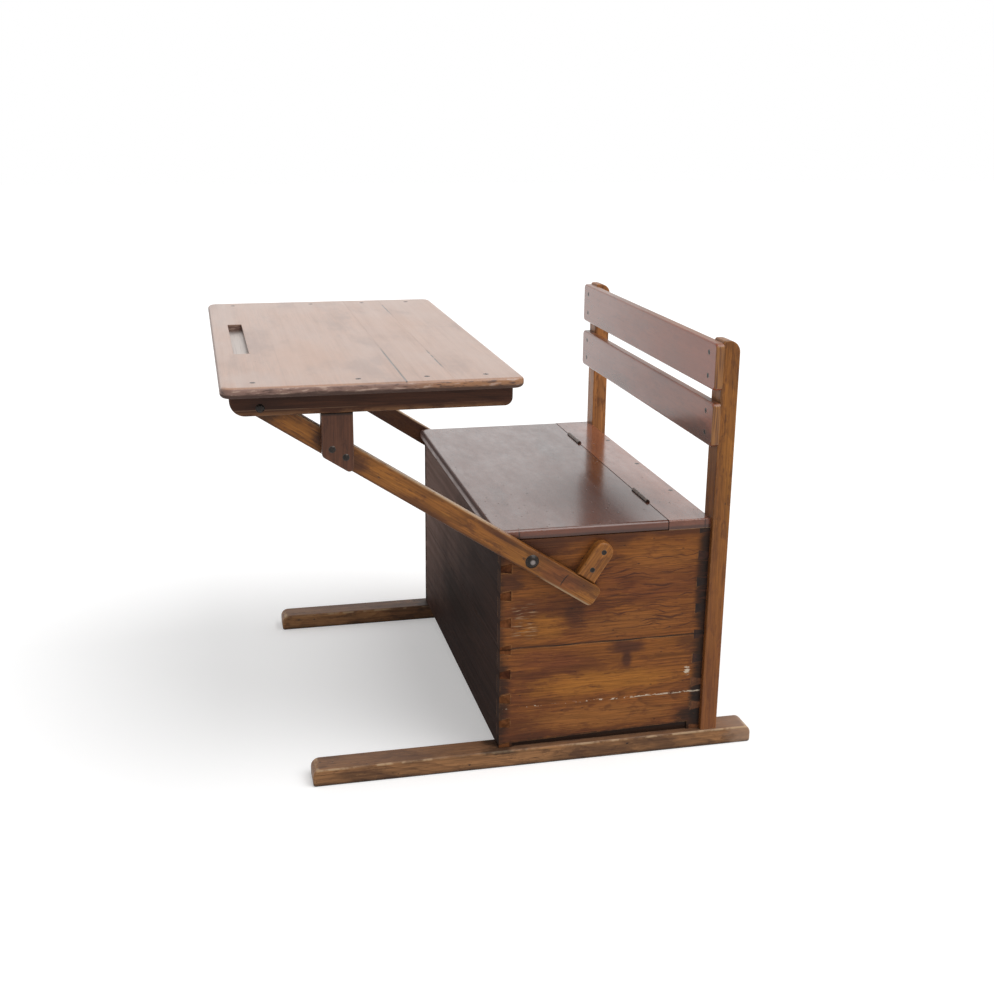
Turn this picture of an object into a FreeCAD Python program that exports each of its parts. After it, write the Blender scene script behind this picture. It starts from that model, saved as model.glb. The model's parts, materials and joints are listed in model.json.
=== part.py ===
import FreeCAD, Part
import os
import re
from math import atan2

import Sketcher
from FreeCAD import Placement, Rotation, Vector

# School bench-desk. A dovetailed storage box stands on two runners and is also the seat: its
# lid lifts on two butt hinges. Posts behind the box carry two back slats. Two swing arms turn
# on coach bolts in the box's sides and carry the desktop, which tilts on bolts near its front.
# Frame: +Z up, origin on the floor under the middle of the overall box, -Y towards the
# desktop's front edge, +Y towards the backrest, +X towards the sitter's left. Millimetres.

DRIVING = {
    # Overall
    "overall_depth": 853,
    # Runners
    "runner_length": 740,
    "runner_width": 44,
    "runner_height": 30,
    "runner_gauge": 694,
    "runner_tail": 62,
    "runner_end_round": 14,
    "runner_toe_round": 4,
    "runner_edge_round": 3,
    # Storage box
    "box_width": 672,
    "box_depth": 347,
    "box_wall": 18,
    "lower_course": 172,
    "upper_course": 184,
    "tail_count": 4,
    "pin_narrow": 11,
    "pin_wide": 17,
    "foot_rebate_setback": 22,
    "foot_rebate_front": 7,
    "foot_rebate_rear": 14,
    "foot_rebate_depth": 3,
    "floor_thickness": 12,
    # Seat lid and the fixed strip behind it
    "seat_width": 671,
    "seat_thickness": 16,
    "seat_nose": 6,
    "seat_under_round": 2.5,
    "seat_corner": 8,
    "lid_depth": 286,
    "strip_depth": 71.2,
    "seam_gap": 1.5,
    "rest_gap": 0.3,
    "batten_length": 215,
    "batten_width": 40,
    "batten_thickness": 16,
    "batten_offset": 215,
    "batten_setback": 45,
    # Lid hinges
    "hinge_length": 72,
    "hinge_offset": 198,
    "hinge_rise": 1,
    "leaf_thickness": 1.6,
    "leaf_height": 10.5,
    "leaf_drop": 3.2,
    "knuckle_count": 5,
    "knuckle_radius": 3.5,
    "knuckle_relief": 4.2,
    "knuckle_gap": 0.3,
    "hinge_pin_radius": 1.5,
    "hinge_pin_head": 2.4,
    "hinge_pin_head_length": 1,
    "hinge_screw_head": 2.8,
    "hinge_screw_shank": 1.2,
    "hinge_screw_length": 14,
    # Posts and back slats
    "post_width": 38,
    "post_depth": 28.5,
    "post_gauge": 690,
    "post_top": 690.5,
    "post_rear_round": 19,
    "post_front_round": 4,
    "post_edge_round": 2,
    "tenon_length": 22,
    "tenon_shoulder": 8,
    "slat_length": 698,
    "slat_thickness": 13,
    "slat_corner": 9,
    "slat_edge_round": 3,
    "upper_slat_bottom": 613,
    "upper_slat_height": 74,
    "lower_slat_bottom": 523,
    "lower_slat_height": 70,
    # Desktop
    "desk_width": 797,
    "desk_depth": 436,
    "desk_height": 657,
    "desk_thickness": 16,
    "desk_corner": 18,
    "desk_nose": 6.5,
    "front_board": 261,
    "middle_board": 70,
    "groove_length": 282,
    "groove_width": 24,
    "groove_depth": 9,
    "groove_setback": 41,
    # Rails under the desktop
    "rail_length": 409,
    "rail_height": 29.5,
    "rail_thickness": 19,
    "rail_gauge": 755,
    "rail_setback": 12.5,
    "rail_front_round": 22,
    "rail_rear_round": 12,
    "rail_edge_round": 2.5,
    # Swing arms, their brackets and the blocks that stop them
    "arm_width": 34,
    "arm_thickness": 18,
    "arm_gauge": 713,
    "arm_tail": 128,
    "arm_corner": 9,
    "arm_edge_round": 2.5,
    "pivot_setback": 45.3,
    "pivot_drop": 29,
    "tilt_setback": 55,
    "tilt_drop": 34,
    "bracket_width": 46,
    "bracket_thickness": 20,
    "bracket_setback": 140,
    "bracket_edge_round": 2,
    "bracket_foot_round": 7,
    "bracket_bolt_first": 119,
    "bracket_bolt_second": 142.5,
    "stop_width": 34,
    "stop_length": 67,
    "stop_thickness": 17,
    "stop_edge_round": 4,
    "stop_offset": 95.6,
    "stop_screw_first": 18.6,
    "stop_screw_second": 52,
    # Coach bolts, nuts, washers and wood screws
    "bolt_radius": 4,
    "pivot_head_height": 5.5,
    "tilt_head_height": 3.5,
    "bolt_neck": 8.4,
    "bolt_neck_length": 6,
    "bolt_spare_thread": 3,
    "pivot_head_radius": 11,
    "tilt_head_radius": 6.5,
    "small_bolt_radius": 3,
    "small_bolt_head": 5.2,
    "small_bolt_head_height": 2.2,
    "nut_size": 14,
    "nut_thickness": 6.5,
    "small_nut_size": 10.5,
    "small_nut_thickness": 5,
    "washer_radius": 11,
    "washer_thickness": 2,
    "running_gap": 0.05,
    "turning_gap": 0.2,
    "screw_head": 4.3,
    "screw_shank": 2.2,
    "desk_screw_length": 34,
    "slat_screw_length": 34,
    "post_screw_length": 42,
    "runner_screw_length": 52,
    "strip_screw_length": 38,
    "stop_screw_length": 31,
    "batten_screw_length": 26,
    # Places of the screws: insets, and shares of the length that a row of screws spans
    "slat_screw_inset": 25.8,
    "post_screw_inset": 31.9,
    "slat_screw_low": 0.26,
    "slat_screw_high": 0.76,
    "strip_screw_spread": 0.26,
    "hinge_screw_spread": 0.36,
    "row_end_share": 0.13,
}

# Places worked out from the driving dimensions, as expressions over the sheet
BOX_REAR = "(overall_depth / 2 - runner_tail - post_depth)"
BOX_FRONT = f"({BOX_REAR} - box_depth)"
BOX_TOP = "(runner_height + lower_course + upper_course)"
SEAT_TOP = f"({BOX_TOP} + seat_thickness)"
SEAM = f"({BOX_REAR} - strip_depth)"
DESK_FRONT = "(-overall_depth / 2)"
DESK_UNDER = "(desk_height - desk_thickness)"
RAIL_BOTTOM = f"({DESK_UNDER} - rail_height)"
PIVOT = (f"({BOX_FRONT} + pivot_setback)", f"({BOX_TOP} - pivot_drop)")
TILT = (f"({DESK_FRONT} + tilt_setback)", "(desk_height - tilt_drop)")
ARM_RUN = f"({PIVOT[0]} - {TILT[0]})"
ARM_FALL = f"({TILT[1]} - {PIVOT[1]})"
ARM_SPAN = f"sqrt({ARM_RUN} ^ 2 + {ARM_FALL} ^ 2)"
ARM_INNER = "(arm_gauge / 2 - arm_thickness)"
RAIL_INNER = "(rail_gauge / 2 - rail_thickness)"
KNUCKLE_STEP = "(hinge_length / knuckle_count)"

SIDES = {"left": 1, "right": -1}
SKETCH_X_AXIS = -1
SKETCH_Y_AXIS = -2
SKETCH_ORIGIN = -1
START, END, CENTRE = 1, 2, 3
NEAR = 0.01

doc = FreeCAD.newDocument("school_bench_desk")
sheet = doc.addObject("Spreadsheet::Sheet", "dims")
for row, (alias, number) in enumerate(DRIVING.items(), 1):
    sheet.set(f"A{row}", alias)
    sheet.set(f"B{row}", str(number))
    sheet.setAlias(f"B{row}", alias)
doc.recompute()

nodes = []


def linked(expression):
    """Point every bare name in an expression at its cell in the sheet."""
    return re.sub(r"\b[a-z][a-z_]*\b(?!\()", r"dims.\g<0>", expression)


def bind(thing, prop, expression):
    thing.setExpression(prop, linked(expression))


def value(expression):
    return float(sheet.evalExpression(linked(expression)))


def node(thing, label):
    thing.Label = label
    nodes.append(thing)
    return thing


# Sketches and features


def new_body(label):
    return doc.addObject("PartDesign::Body", label)


def place(thing, x="0", y="0", z="0"):
    for axis, expression in zip("xyz", (x, y, z)):
        bind(thing, f"Placement.Base.{axis}", expression)
    doc.recompute()


def side_x(side, inner, thickness):
    """X of the low face of a slab that lies outside the plane X = inner, on either side."""
    return inner if side > 0 else f"-({inner} + {thickness})"


def on_arm(along, above):
    """Y and Z of a point measured along the arm from the tilt bolt, and square to it."""
    y = f"({TILT[0]} + ({along} * {ARM_RUN} + {above} * {ARM_FALL}) / {ARM_SPAN})"
    z = f"({TILT[1]} + ({above} * {ARM_RUN} - {along} * {ARM_FALL}) / {ARM_SPAN})"
    return y, z


def lean_with_arm(thing, x, along, above):
    """Turn a piece drawn level so that its Y axis runs down the arm, from a point on the arm."""
    thing.Placement = Placement(Vector(), Rotation(Vector(-1, 0, 0), 1))
    bind(thing, "Placement.Rotation.Angle", f"atan2({ARM_FALL}; {ARM_RUN})")
    place(thing, x, *on_arm(along, above))


def origin_feature(body, role):
    return next(feature for feature in body.Origin.OriginFeatures if feature.Role == role)


def new_sketch(body, plane, offset="0"):
    sketch = body.newObject("Sketcher::SketchObject", f"{body.Name}_sketch")
    sketch.AttachmentSupport = (origin_feature(body, plane), [""])
    sketch.MapMode = "FlatFace"
    bind(sketch, "AttachmentOffset.Base.z", offset)
    return sketch


def pin_point(sketch, geometry, point, corner):
    """Hold a point of the sketch at the place that two expressions give."""
    for kind, axis, expression in zip(("DistanceX", "DistanceY"), (SKETCH_Y_AXIS, SKETCH_X_AXIS), corner):
        if expression == "0":
            sketch.addConstraint(Sketcher.Constraint("PointOnObject", geometry, point, axis))
            continue
        rule = Sketcher.Constraint(kind, SKETCH_ORIGIN, START, geometry, point, value(expression))
        bind(sketch, f"Constraints[{sketch.addConstraint(rule)}]", expression)


def dome_arc(rim, crown):
    """Arc from a dome's crown on the sketch's X axis to its rim, centred on that axis."""
    centre_x = (crown.x**2 - rim.x**2 - rim.y**2) / (2 * (crown.x - rim.x))
    circle = Part.Circle(Vector(centre_x, 0), Vector(0, 0, 1), crown.x - centre_x)
    return Part.ArcOfCircle(circle, 0, atan2(rim.y, rim.x - centre_x))


def outline(sketch, corners, dome=None):
    """Closed outline through the corners; the edge numbered dome is an arc, the rest are lines."""
    points = [Vector(value(x), value(y)) for x, y in corners]
    first = sketch.GeometryCount
    count = len(points)
    starts = [END if edge == dome else START for edge in range(count)]
    for edge in range(count):
        ends = points[edge], points[(edge + 1) % count]
        sketch.addGeometry(dome_arc(*ends) if edge == dome else Part.LineSegment(*ends))
    for edge in range(count):
        following = (edge + 1) % count
        joined = (first + edge, START + END - starts[edge], first + following, starts[following])
        sketch.addConstraint(Sketcher.Constraint("Coincident", *joined))
    for edge in range(count):
        pin_point(sketch, first + edge, starts[edge], corners[edge])
    if dome is not None:
        sketch.addConstraint(Sketcher.Constraint("PointOnObject", first + dome, CENTRE, SKETCH_X_AXIS))
    return sketch


def rectangle(sketch, low, high):
    return outline(sketch, [low, (high[0], low[1]), high, (low[0], high[1])])


def circle(sketch, centre, radius):
    middle = Vector(value(centre[0]), value(centre[1]))
    index = sketch.addGeometry(Part.Circle(middle, Vector(0, 0, 1), value(radius)))
    pin_point(sketch, index, CENTRE, centre)
    rule = Sketcher.Constraint("Radius", index, value(radius))
    bind(sketch, f"Constraints[{sketch.addConstraint(rule)}]", radius)
    return sketch


def pad(body, sketch, length, symmetric=False, reverse=False):
    feature = body.newObject("PartDesign::Pad", f"{body.Name}_pad")
    feature.Profile = sketch
    feature.SideType = "Symmetric" if symmetric else "One side"
    feature.Reversed = reverse
    bind(feature, "Length", length)
    doc.recompute()
    return feature


def pocket(body, sketch, depth=None, symmetric=False, reverse=False):
    """Cut the sketch into the body: right through it, or to a depth."""
    before = body.Shape.Volume
    feature = body.newObject("PartDesign::Pocket", f"{body.Name}_pocket")
    feature.Profile = sketch
    feature.SideType = "Symmetric" if symmetric or depth is None else "One side"
    feature.Reversed = reverse
    if depth is None:
        feature.Type = "ThroughAll"
    else:
        bind(feature, "Length", depth)
    doc.recompute()
    if body.Shape.Volume > before - NEAR:
        raise RuntimeError(f"{feature.Name} cuts nothing")
    return feature


def repeat(body, features, axis, length, count):
    pattern = body.newObject("PartDesign::LinearPattern", f"{body.Name}_pattern")
    pattern.Originals = features
    pattern.Direction = (origin_feature(body, axis), [""])
    bind(pattern, "Length", length)
    bind(pattern, "Occurrences", count)
    body.Tip = pattern
    doc.recompute()


def fillet(body, radius, chosen):
    """Round the edges whose bounding box is chosen."""
    base = body.Tip
    names = [f"Edge{i}" for i, edge in enumerate(base.Shape.Edges, 1) if chosen(edge.BoundBox)]
    feature = body.newObject("PartDesign::Fillet", f"{body.Name}_fillet")
    feature.Base = (base, names)
    bind(feature, "Radius", radius)
    doc.recompute()


def across(y, z):
    """Choose the edge along X at y and z."""

    def chosen(box):
        return level_at(z)(box) and same(box.YMin, y) and same(box.YMax, y)

    return chosen


def on_face(x, skip=None):
    """Choose edges that lie in the plane at x, apart from those that skip chooses."""

    def chosen(box):
        return same(box.XMin, x) and same(box.XMax, x) and not (skip and skip(box))

    return chosen


def soften(body, radius, faces, skip=None):
    """Round the edges of the flat faces at each x."""
    for x in faces:
        fillet(body, radius, on_face(value(x), skip))


def turned(body, corners, dome=None):
    """Revolve a half profile, drawn in X and radius, about the body's X axis."""
    sketch = outline(new_sketch(body, "XZ_Plane"), corners, dome)
    feature = body.newObject("PartDesign::Revolution", f"{body.Name}_turned")
    feature.Profile = sketch
    feature.ReferenceAxis = (sketch, ["H_Axis"])
    doc.recompute()
    return body


def same(first, second):
    return abs(first - second) < NEAR


def upright(box):
    """Choose edges that stand straight up."""
    return same(box.XLength, 0) and same(box.YLength, 0)


def level_at(height):
    """Choose edges that lie level at a height."""
    return lambda box: same(box.ZMin, height) and same(box.ZMax, height)


# Fasteners: one pattern piece of each kind, drawn for the left side, and groups of its copies


def wood_screw(label, length, head="screw_head", shank="screw_shank"):
    """Countersunk screw with its head flush at X = 0, driven towards -X."""
    profile = [
        ("0", "0"),
        ("0", head),
        (f"{shank} - {head}", shank),
        (f"-{length}", shank),
        (f"-{length}", "0"),
    ]
    return turned(new_body(label), profile)


def coach_bolt(label, grip, shank, head, height):
    """Domed bolt with its head on X = 0, a square neck, and a shank that runs to -grip."""
    profile = [
        (f"-({grip})", "0"),
        (f"-({grip})", shank),
        ("0", shank),
        ("0", head),
        (height, "0"),
    ]
    body = turned(new_body(label), profile, dome=3)
    neck = f"(bolt_neck / bolt_radius * {shank} / 2)"
    sketch = rectangle(new_sketch(body, "YZ_Plane"), (f"-{neck}", f"-{neck}"), (neck, neck))
    pad(body, sketch, "bolt_neck_length", reverse=True)
    return body


def square_nut(label, size, thickness, shank):
    body = new_body(label)
    sketch = rectangle(new_sketch(body, "YZ_Plane"), (f"-{size} / 2",) * 2, (f"{size} / 2",) * 2)
    pad(body, circle(sketch, ("0", "0"), shank), thickness, reverse=True)
    return body


def washer(label, thickness):
    body = new_body(label)
    sketch = circle(new_sketch(body, "YZ_Plane"), ("0", "0"), "washer_radius")
    pad(body, circle(sketch, ("0", "0"), "bolt_radius"), thickness, reverse=True)
    return body


def group(label, pattern, places):
    """Copies of a fastener: each place is a point and the direction its head faces."""
    copies = []
    for point, facing in places:
        copy = pattern.Shape.copy()
        copy.Placement = Placement(Vector(*(value(part) for part in point)), facing)
        copies.append(copy)
    thing = doc.addObject("Part::Feature", label)
    thing.Shape = Part.makeCompound(copies)
    return node(thing, label)


FACING = {
    "left": Rotation(),
    "right": Rotation(Vector(0, 0, 1), 180),
    "front": Rotation(Vector(0, 0, 1), -90),
    "rear": Rotation(Vector(0, 0, 1), 90),
    "up": Rotation(Vector(0, 1, 0), -90),
    "down": Rotation(Vector(0, 1, 0), 90),
}


def on_both_sides(x, points):
    """The same points of Y and Z on each side, facing outwards at X = x and X = -x."""
    return [
        ((f"{sign} * ({x})", *point), FACING[side])
        for side, sign in SIDES.items()
        for point in points
    ]


def seated(blank, label, *fasteners):
    """A blank with room cut in it for its fasteners."""
    tools = doc.addObject("Part::Compound", f"{label}_fasteners")
    tools.Links = list(fasteners)
    cut = doc.addObject("Part::Cut", label)
    cut.Base = blank
    cut.Tool = tools
    doc.recompute()
    return node(cut, label)


# Box, runners and back


def runner(side, screws):
    name, sign = side
    body = new_body(f"runner_{name}_blank")
    front = "(overall_depth / 2 - runner_length)"
    sketch = rectangle(new_sketch(body, "YZ_Plane"), (front, "0"), ("overall_depth / 2", "runner_height"))
    pad(body, sketch, "runner_width")
    for height, radius in ((value("runner_height"), "runner_end_round"), (0, "runner_toe_round")):
        fillet(body, radius, lambda box: level_at(height)(box) and same(box.YLength, 0))
    soften(body, "runner_edge_round", ("0", "runner_width"))
    inner = "(runner_gauge / 2 - runner_width)"
    low = side_x(sign, inner, "runner_width")
    mortise = new_sketch(body, "XY_Plane", "runner_height")
    post_low = side_x(sign, "(post_gauge / 2 - post_width)", "post_width")
    inset = f"({post_low} - ({low}))"
    rectangle(
        mortise,
        (f"{inset} + tenon_shoulder", f"{BOX_REAR} + tenon_shoulder"),
        (f"{inset} + post_width - tenon_shoulder", f"{BOX_REAR} + post_depth - tenon_shoulder"),
    )
    pocket(body, mortise, "tenon_length")
    place(body, x=low)
    seated(body, f"runner_{name}", screws)


def back_post(side, *screws):
    name, sign = side
    body = new_body(f"back_post_{name}_blank")
    height = "(post_top - runner_height)"
    pad(body, rectangle(new_sketch(body, "YZ_Plane"), ("0", "0"), ("post_depth", height)), "post_width")
    top = value(height)
    fillet(body, "post_rear_round", across(value("post_depth"), top))
    fillet(body, "post_front_round", across(0, top))
    soften(body, "post_edge_round", ("0", "post_width"), level_at(0))
    tenon = rectangle(
        new_sketch(body, "XY_Plane"),
        ("tenon_shoulder", "tenon_shoulder"),
        ("post_width - tenon_shoulder", "post_depth - tenon_shoulder"),
    )
    pad(body, tenon, "tenon_length", reverse=True)
    low = side_x(sign, "(post_gauge / 2 - post_width)", "post_width")
    place(body, low, BOX_REAR, "runner_height")
    seated(body, f"back_post_{name}", *screws)


def back_slat(name, bottom, height, screws):
    body = new_body(f"back_slat_{name}_blank")
    sketch = rectangle(new_sketch(body, "XZ_Plane"), ("-slat_length / 2", "0"), ("slat_length / 2", height))
    pad(body, sketch, "slat_thickness")
    fillet(body, "slat_corner", lambda box: same(box.XLength, 0) and same(box.ZLength, 0))
    front = -value("slat_thickness")
    fillet(body, "slat_edge_round", lambda box: same(box.YMin, front) and same(box.YMax, front))
    place(body, "0", BOX_REAR, bottom)
    seated(body, f"back_slat_{name}", screws)


def box_side(side, course, height, bottom, *fasteners):
    """Board with dovetails at both ends: the pins' sockets are cut from a plain board.

    The lower board has a shallow rebate along its foot, and the upper one the arm's pivot hole.
    """
    name, sign = side
    body = new_body(f"box_side_{name}_{course}_blank")
    pad(body, rectangle(new_sketch(body, "YZ_Plane"), ("0", "0"), ("box_depth", height)), "box_wall")
    sockets = new_sketch(body, "YZ_Plane")
    narrow, wide = "pin_narrow / 2", "pin_wide / 2"
    for end, shoulder in (("0", "box_wall"), ("box_depth", "box_depth - box_wall")):
        pin = [(end, f"-{narrow}"), (shoulder, f"-{wide}"), (shoulder, wide), (end, narrow)]
        outline(sockets, pin)
    cut = pocket(body, sockets)
    repeat(body, [cut], "Z_Axis", height, "tail_count + 1")
    if course == "upper":
        hole = circle(
            new_sketch(body, "YZ_Plane"),
            (f"{PIVOT[0]} - {BOX_FRONT}", f"{PIVOT[1]} - {bottom}"),
            "bolt_radius + running_gap",
        )
        pocket(body, hole)
    else:
        rebate = new_sketch(body, "YZ_Plane", "box_wall" if sign > 0 else "0")
        near, far = "foot_rebate_setback", "(box_depth - foot_rebate_setback)"
        outline(rebate, [(near, "0"), (far, "0"), (far, "foot_rebate_rear"), (near, "foot_rebate_front")])
        pocket(body, rebate, "foot_rebate_depth", reverse=sign < 0)
    place(body, side_x(sign, "(box_width / 2 - box_wall)", "box_wall"), BOX_FRONT, bottom)
    seated(body, f"box_side_{name}_{course}", *fasteners)


def box_end(name, course, height, bottom, *fasteners):
    """Front or back board with pins at both ends: the tails' sockets are cut from a plain board."""
    body = new_body(f"box_{name}_{course}_blank")
    sketch = rectangle(new_sketch(body, "YZ_Plane"), ("0", "0"), ("box_wall", height))
    pad(body, sketch, "box_width", symmetric=True)
    step = f"({height} / tail_count)"
    for sign in SIDES.values():
        socket = new_sketch(body, "YZ_Plane", f"{sign} * box_width / 2")
        tail = [
            ("0", "pin_narrow / 2"),
            ("box_wall", "pin_wide / 2"),
            ("box_wall", f"{step} - pin_wide / 2"),
            ("0", f"{step} - pin_narrow / 2"),
        ]
        cut = pocket(body, outline(socket, tail), "box_wall", reverse=sign < 0)
        repeat(body, [cut], "Z_Axis", f"{height} - {step}", "tail_count")
    if name == "back":
        body.Placement = Placement(Vector(), Rotation(Vector(0, 0, 1), 180))
    place(body, "0", BOX_FRONT if name == "front" else BOX_REAR, bottom)
    if fasteners:
        seated(body, f"box_{name}_{course}", *fasteners)
    else:
        node(body, f"box_{name}_{course}")


def box_floor():
    body = new_body("box_floor")
    half = "(box_width / 2 - box_wall)"
    low = (f"-{half}", f"{BOX_FRONT} + box_wall")
    high = (half, f"{BOX_REAR} - box_wall")
    pad(body, rectangle(new_sketch(body, "XY_Plane"), low, high), "floor_thickness")
    place(body, z="runner_height")
    node(body, "box_floor")


# Seat lid, strip and hinges, all drawn about the middle of the seam at the top of the seat


def at_seam(body):
    place(body, "0", SEAM, SEAT_TOP)


def hinge_recesses(body, sign):
    """Room for both hinges' leaves and knuckles in the edge of the lid or the strip."""
    face = f"{sign} * (seam_gap / 2 + leaf_thickness)"
    wall = f"{sign} * knuckle_relief"
    corners = [
        ("0", "-(leaf_drop + leaf_height)"),
        (face, "-(leaf_drop + leaf_height)"),
        (face, "-leaf_drop"),
        (wall, "-leaf_drop"),
        (wall, "knuckle_relief"),
        ("0", "knuckle_relief"),
    ]
    for offset in ("hinge_offset", "-hinge_offset"):
        recess = outline(new_sketch(body, "YZ_Plane", offset), corners)
        pocket(body, recess, "hinge_length + 2 * (hinge_pin_head_length + knuckle_gap)", symmetric=True)


def seat_board(body, near, far, thickness):
    """Board of the seat with a rounded nose on every edge but the one at the seam."""
    half = "(seat_width / 2)"
    sketch = rectangle(new_sketch(body, "XY_Plane"), (f"-{half}", near), (half, far))
    pad(body, sketch, thickness, reverse=True)


def seat_lid(*screws):
    body = new_body("seat_lid_blank")
    thickness = "(seat_thickness - rest_gap)"
    seat_board(body, "-lid_depth", "-seam_gap / 2", thickness)
    front = -value("lid_depth")
    seam = -value("seam_gap / 2")
    fillet(body, "seat_corner", lambda box: upright(box) and same(box.YMax, front))
    fillet(body, "seat_nose", lambda box: level_at(0)(box) and box.YMin < seam - NEAR)
    under = -value(thickness)
    fillet(body, "seat_under_round", lambda box: level_at(under)(box) and box.YMin < seam - NEAR)
    hinge_recesses(body, -1)
    at_seam(body)
    seated(body, "seat_lid", *screws)


def seat_strip(*screws):
    body = new_body("seat_rear_strip_blank")
    seat_board(body, "seam_gap / 2", "strip_depth", "seat_thickness")
    fillet(body, "seat_under_round", lambda box: level_at(0)(box) and same(box.XLength, 0))
    hinge_recesses(body, 1)
    at_seam(body)
    seated(body, "seat_rear_strip", *screws)


def lid_batten(side, screws):
    name, sign = side
    body = new_body(f"lid_batten_{name}_blank")
    middle = f"{sign} * batten_offset"
    near = "(batten_setback - lid_depth)"
    low = (f"{middle} - batten_width / 2", near)
    high = (f"{middle} + batten_width / 2", f"{near} + batten_length")
    sketch = rectangle(new_sketch(body, "XY_Plane", "rest_gap - seat_thickness"), low, high)
    pad(body, sketch, "batten_thickness", reverse=True)
    at_seam(body)
    seated(body, f"lid_batten_{name}", screws)


def hinge_leaf(label, sign, middle, first, count, screws):
    """Leaf let into one edge of the seam, with every second knuckle of the barrel."""
    body = new_body(f"{label}_blank")
    near = f"{sign} * seam_gap / 2"
    far = f"{sign} * (seam_gap / 2 + leaf_thickness)"
    low_end = f"({middle} - hinge_length / 2)"
    plate = new_sketch(body, "YZ_Plane", low_end)
    rectangle(plate, (near, "-(leaf_drop + leaf_height)"), (far, "-leaf_drop"))
    pad(body, plate, "hinge_length")
    start = f"{low_end} + {first} * {KNUCKLE_STEP} + knuckle_gap / 2"
    length = f"{KNUCKLE_STEP} - knuckle_gap"
    tab = rectangle(new_sketch(body, "YZ_Plane", start), (near, "-leaf_drop"), (far, "hinge_rise"))
    barrel = circle(new_sketch(body, "YZ_Plane", start), ("0", "hinge_rise"), "knuckle_radius")
    knuckle = [pad(body, tab, length), pad(body, barrel, length)]
    repeat(body, knuckle, "X_Axis", f"{2 * (count - 1)} * {KNUCKLE_STEP}", f"{count}")
    bore = circle(
        new_sketch(body, "YZ_Plane", middle), ("0", "hinge_rise"), "hinge_pin_radius + running_gap"
    )
    pocket(body, bore, "2 * hinge_length", symmetric=True)
    at_seam(body)
    seated(body, label, screws)


def hinge_pin(side):
    name, sign = side
    half = "(hinge_length / 2)"
    head_end = "(hinge_length / 2 + hinge_pin_head_length)"
    profile = [
        (f"-{head_end}", "0"),
        (f"-{head_end}", "hinge_pin_head"),
        (f"-{half}", "hinge_pin_head"),
        (f"-{half}", "hinge_pin_radius"),
        (half, "hinge_pin_radius"),
        (half, "hinge_pin_head"),
        (head_end, "hinge_pin_head"),
        (head_end, "0"),
    ]
    body = turned(new_body(f"hinge_pin_{name}"), profile)
    place(body, f"{sign} * hinge_offset", SEAM, f"{SEAT_TOP} + hinge_rise")
    node(body, f"hinge_pin_{name}")


# Swing arms


def arm(side, *bolts):
    """Bar with a round upper end about the tilt bolt, drawn level and then leant."""
    name, sign = side
    body = new_body(f"arm_{name}_blank")
    half = "arm_width / 2"
    end = f"({ARM_SPAN} + arm_tail)"
    bar = rectangle(new_sketch(body, "YZ_Plane"), ("0", f"-{half}"), (end, half))
    pad(body, bar, "arm_thickness")
    tail_end = value(end)
    fillet(body, "arm_corner", lambda box: same(box.YMin, tail_end) and same(box.ZLength, 0))
    pad(body, circle(new_sketch(body, "YZ_Plane"), ("0", "0"), half), "arm_thickness")
    soften(body, "arm_edge_round", ("0", "arm_thickness"))
    pocket(body, circle(new_sketch(body, "YZ_Plane"), ("0", "0"), "bolt_radius + running_gap"))
    lean_with_arm(body, side_x(sign, ARM_INNER, "arm_thickness"), "0", "0")
    seated(body, f"arm_{name}", *bolts)


def arm_bracket(side, bolts):
    """Prop on the arm's outer face: its top carries the rail and its foot follows the arm."""
    name, sign = side
    body = new_body(f"arm_bracket_{name}_blank")
    near = f"({DESK_FRONT} + bracket_setback)"
    far = f"({near} + bracket_width)"
    top = f"({RAIL_BOTTOM} - rest_gap)"

    def foot(y):
        centre_line = f"({TILT[1]} - ({y} - {TILT[0]}) * {ARM_FALL} / {ARM_RUN})"
        return f"({centre_line} - arm_width / 2 * {ARM_SPAN} / {ARM_RUN})"

    corners = [(near, foot(near)), (far, foot(far)), (far, top), (near, top)]
    pad(body, outline(new_sketch(body, "YZ_Plane"), corners), "bracket_thickness")
    for y in (near, far):
        fillet(body, "bracket_foot_round", across(value(y), value(foot(y))))
    soften(body, "bracket_edge_round", ["bracket_thickness" if sign > 0 else "0"])
    place(body, side_x(sign, "arm_gauge / 2", "bracket_thickness"))
    seated(body, f"arm_bracket_{name}", bolts)


def stop_block(side, screws):
    """Block on the box's side, square to the arm, that the arm's tail comes up against."""
    name, sign = side
    body = new_body(f"stop_block_{name}_blank")
    half = "stop_width / 2"
    straight = f"(stop_length - {half})"
    sketch = rectangle(new_sketch(body, "YZ_Plane"), (f"-{half}", "0"), (half, straight))
    pad(body, sketch, "stop_thickness")
    pad(body, circle(new_sketch(body, "YZ_Plane"), ("0", straight), half), "stop_thickness")
    soften(body, "stop_edge_round", ["stop_thickness" if sign > 0 else "0"])
    low = side_x(sign, "box_width / 2", "stop_thickness")
    lean_with_arm(body, low, f"({ARM_SPAN} + stop_offset)", "(arm_width / 2 + rest_gap)")
    seated(body, f"stop_block_{name}", screws)


# Desktop


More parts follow.
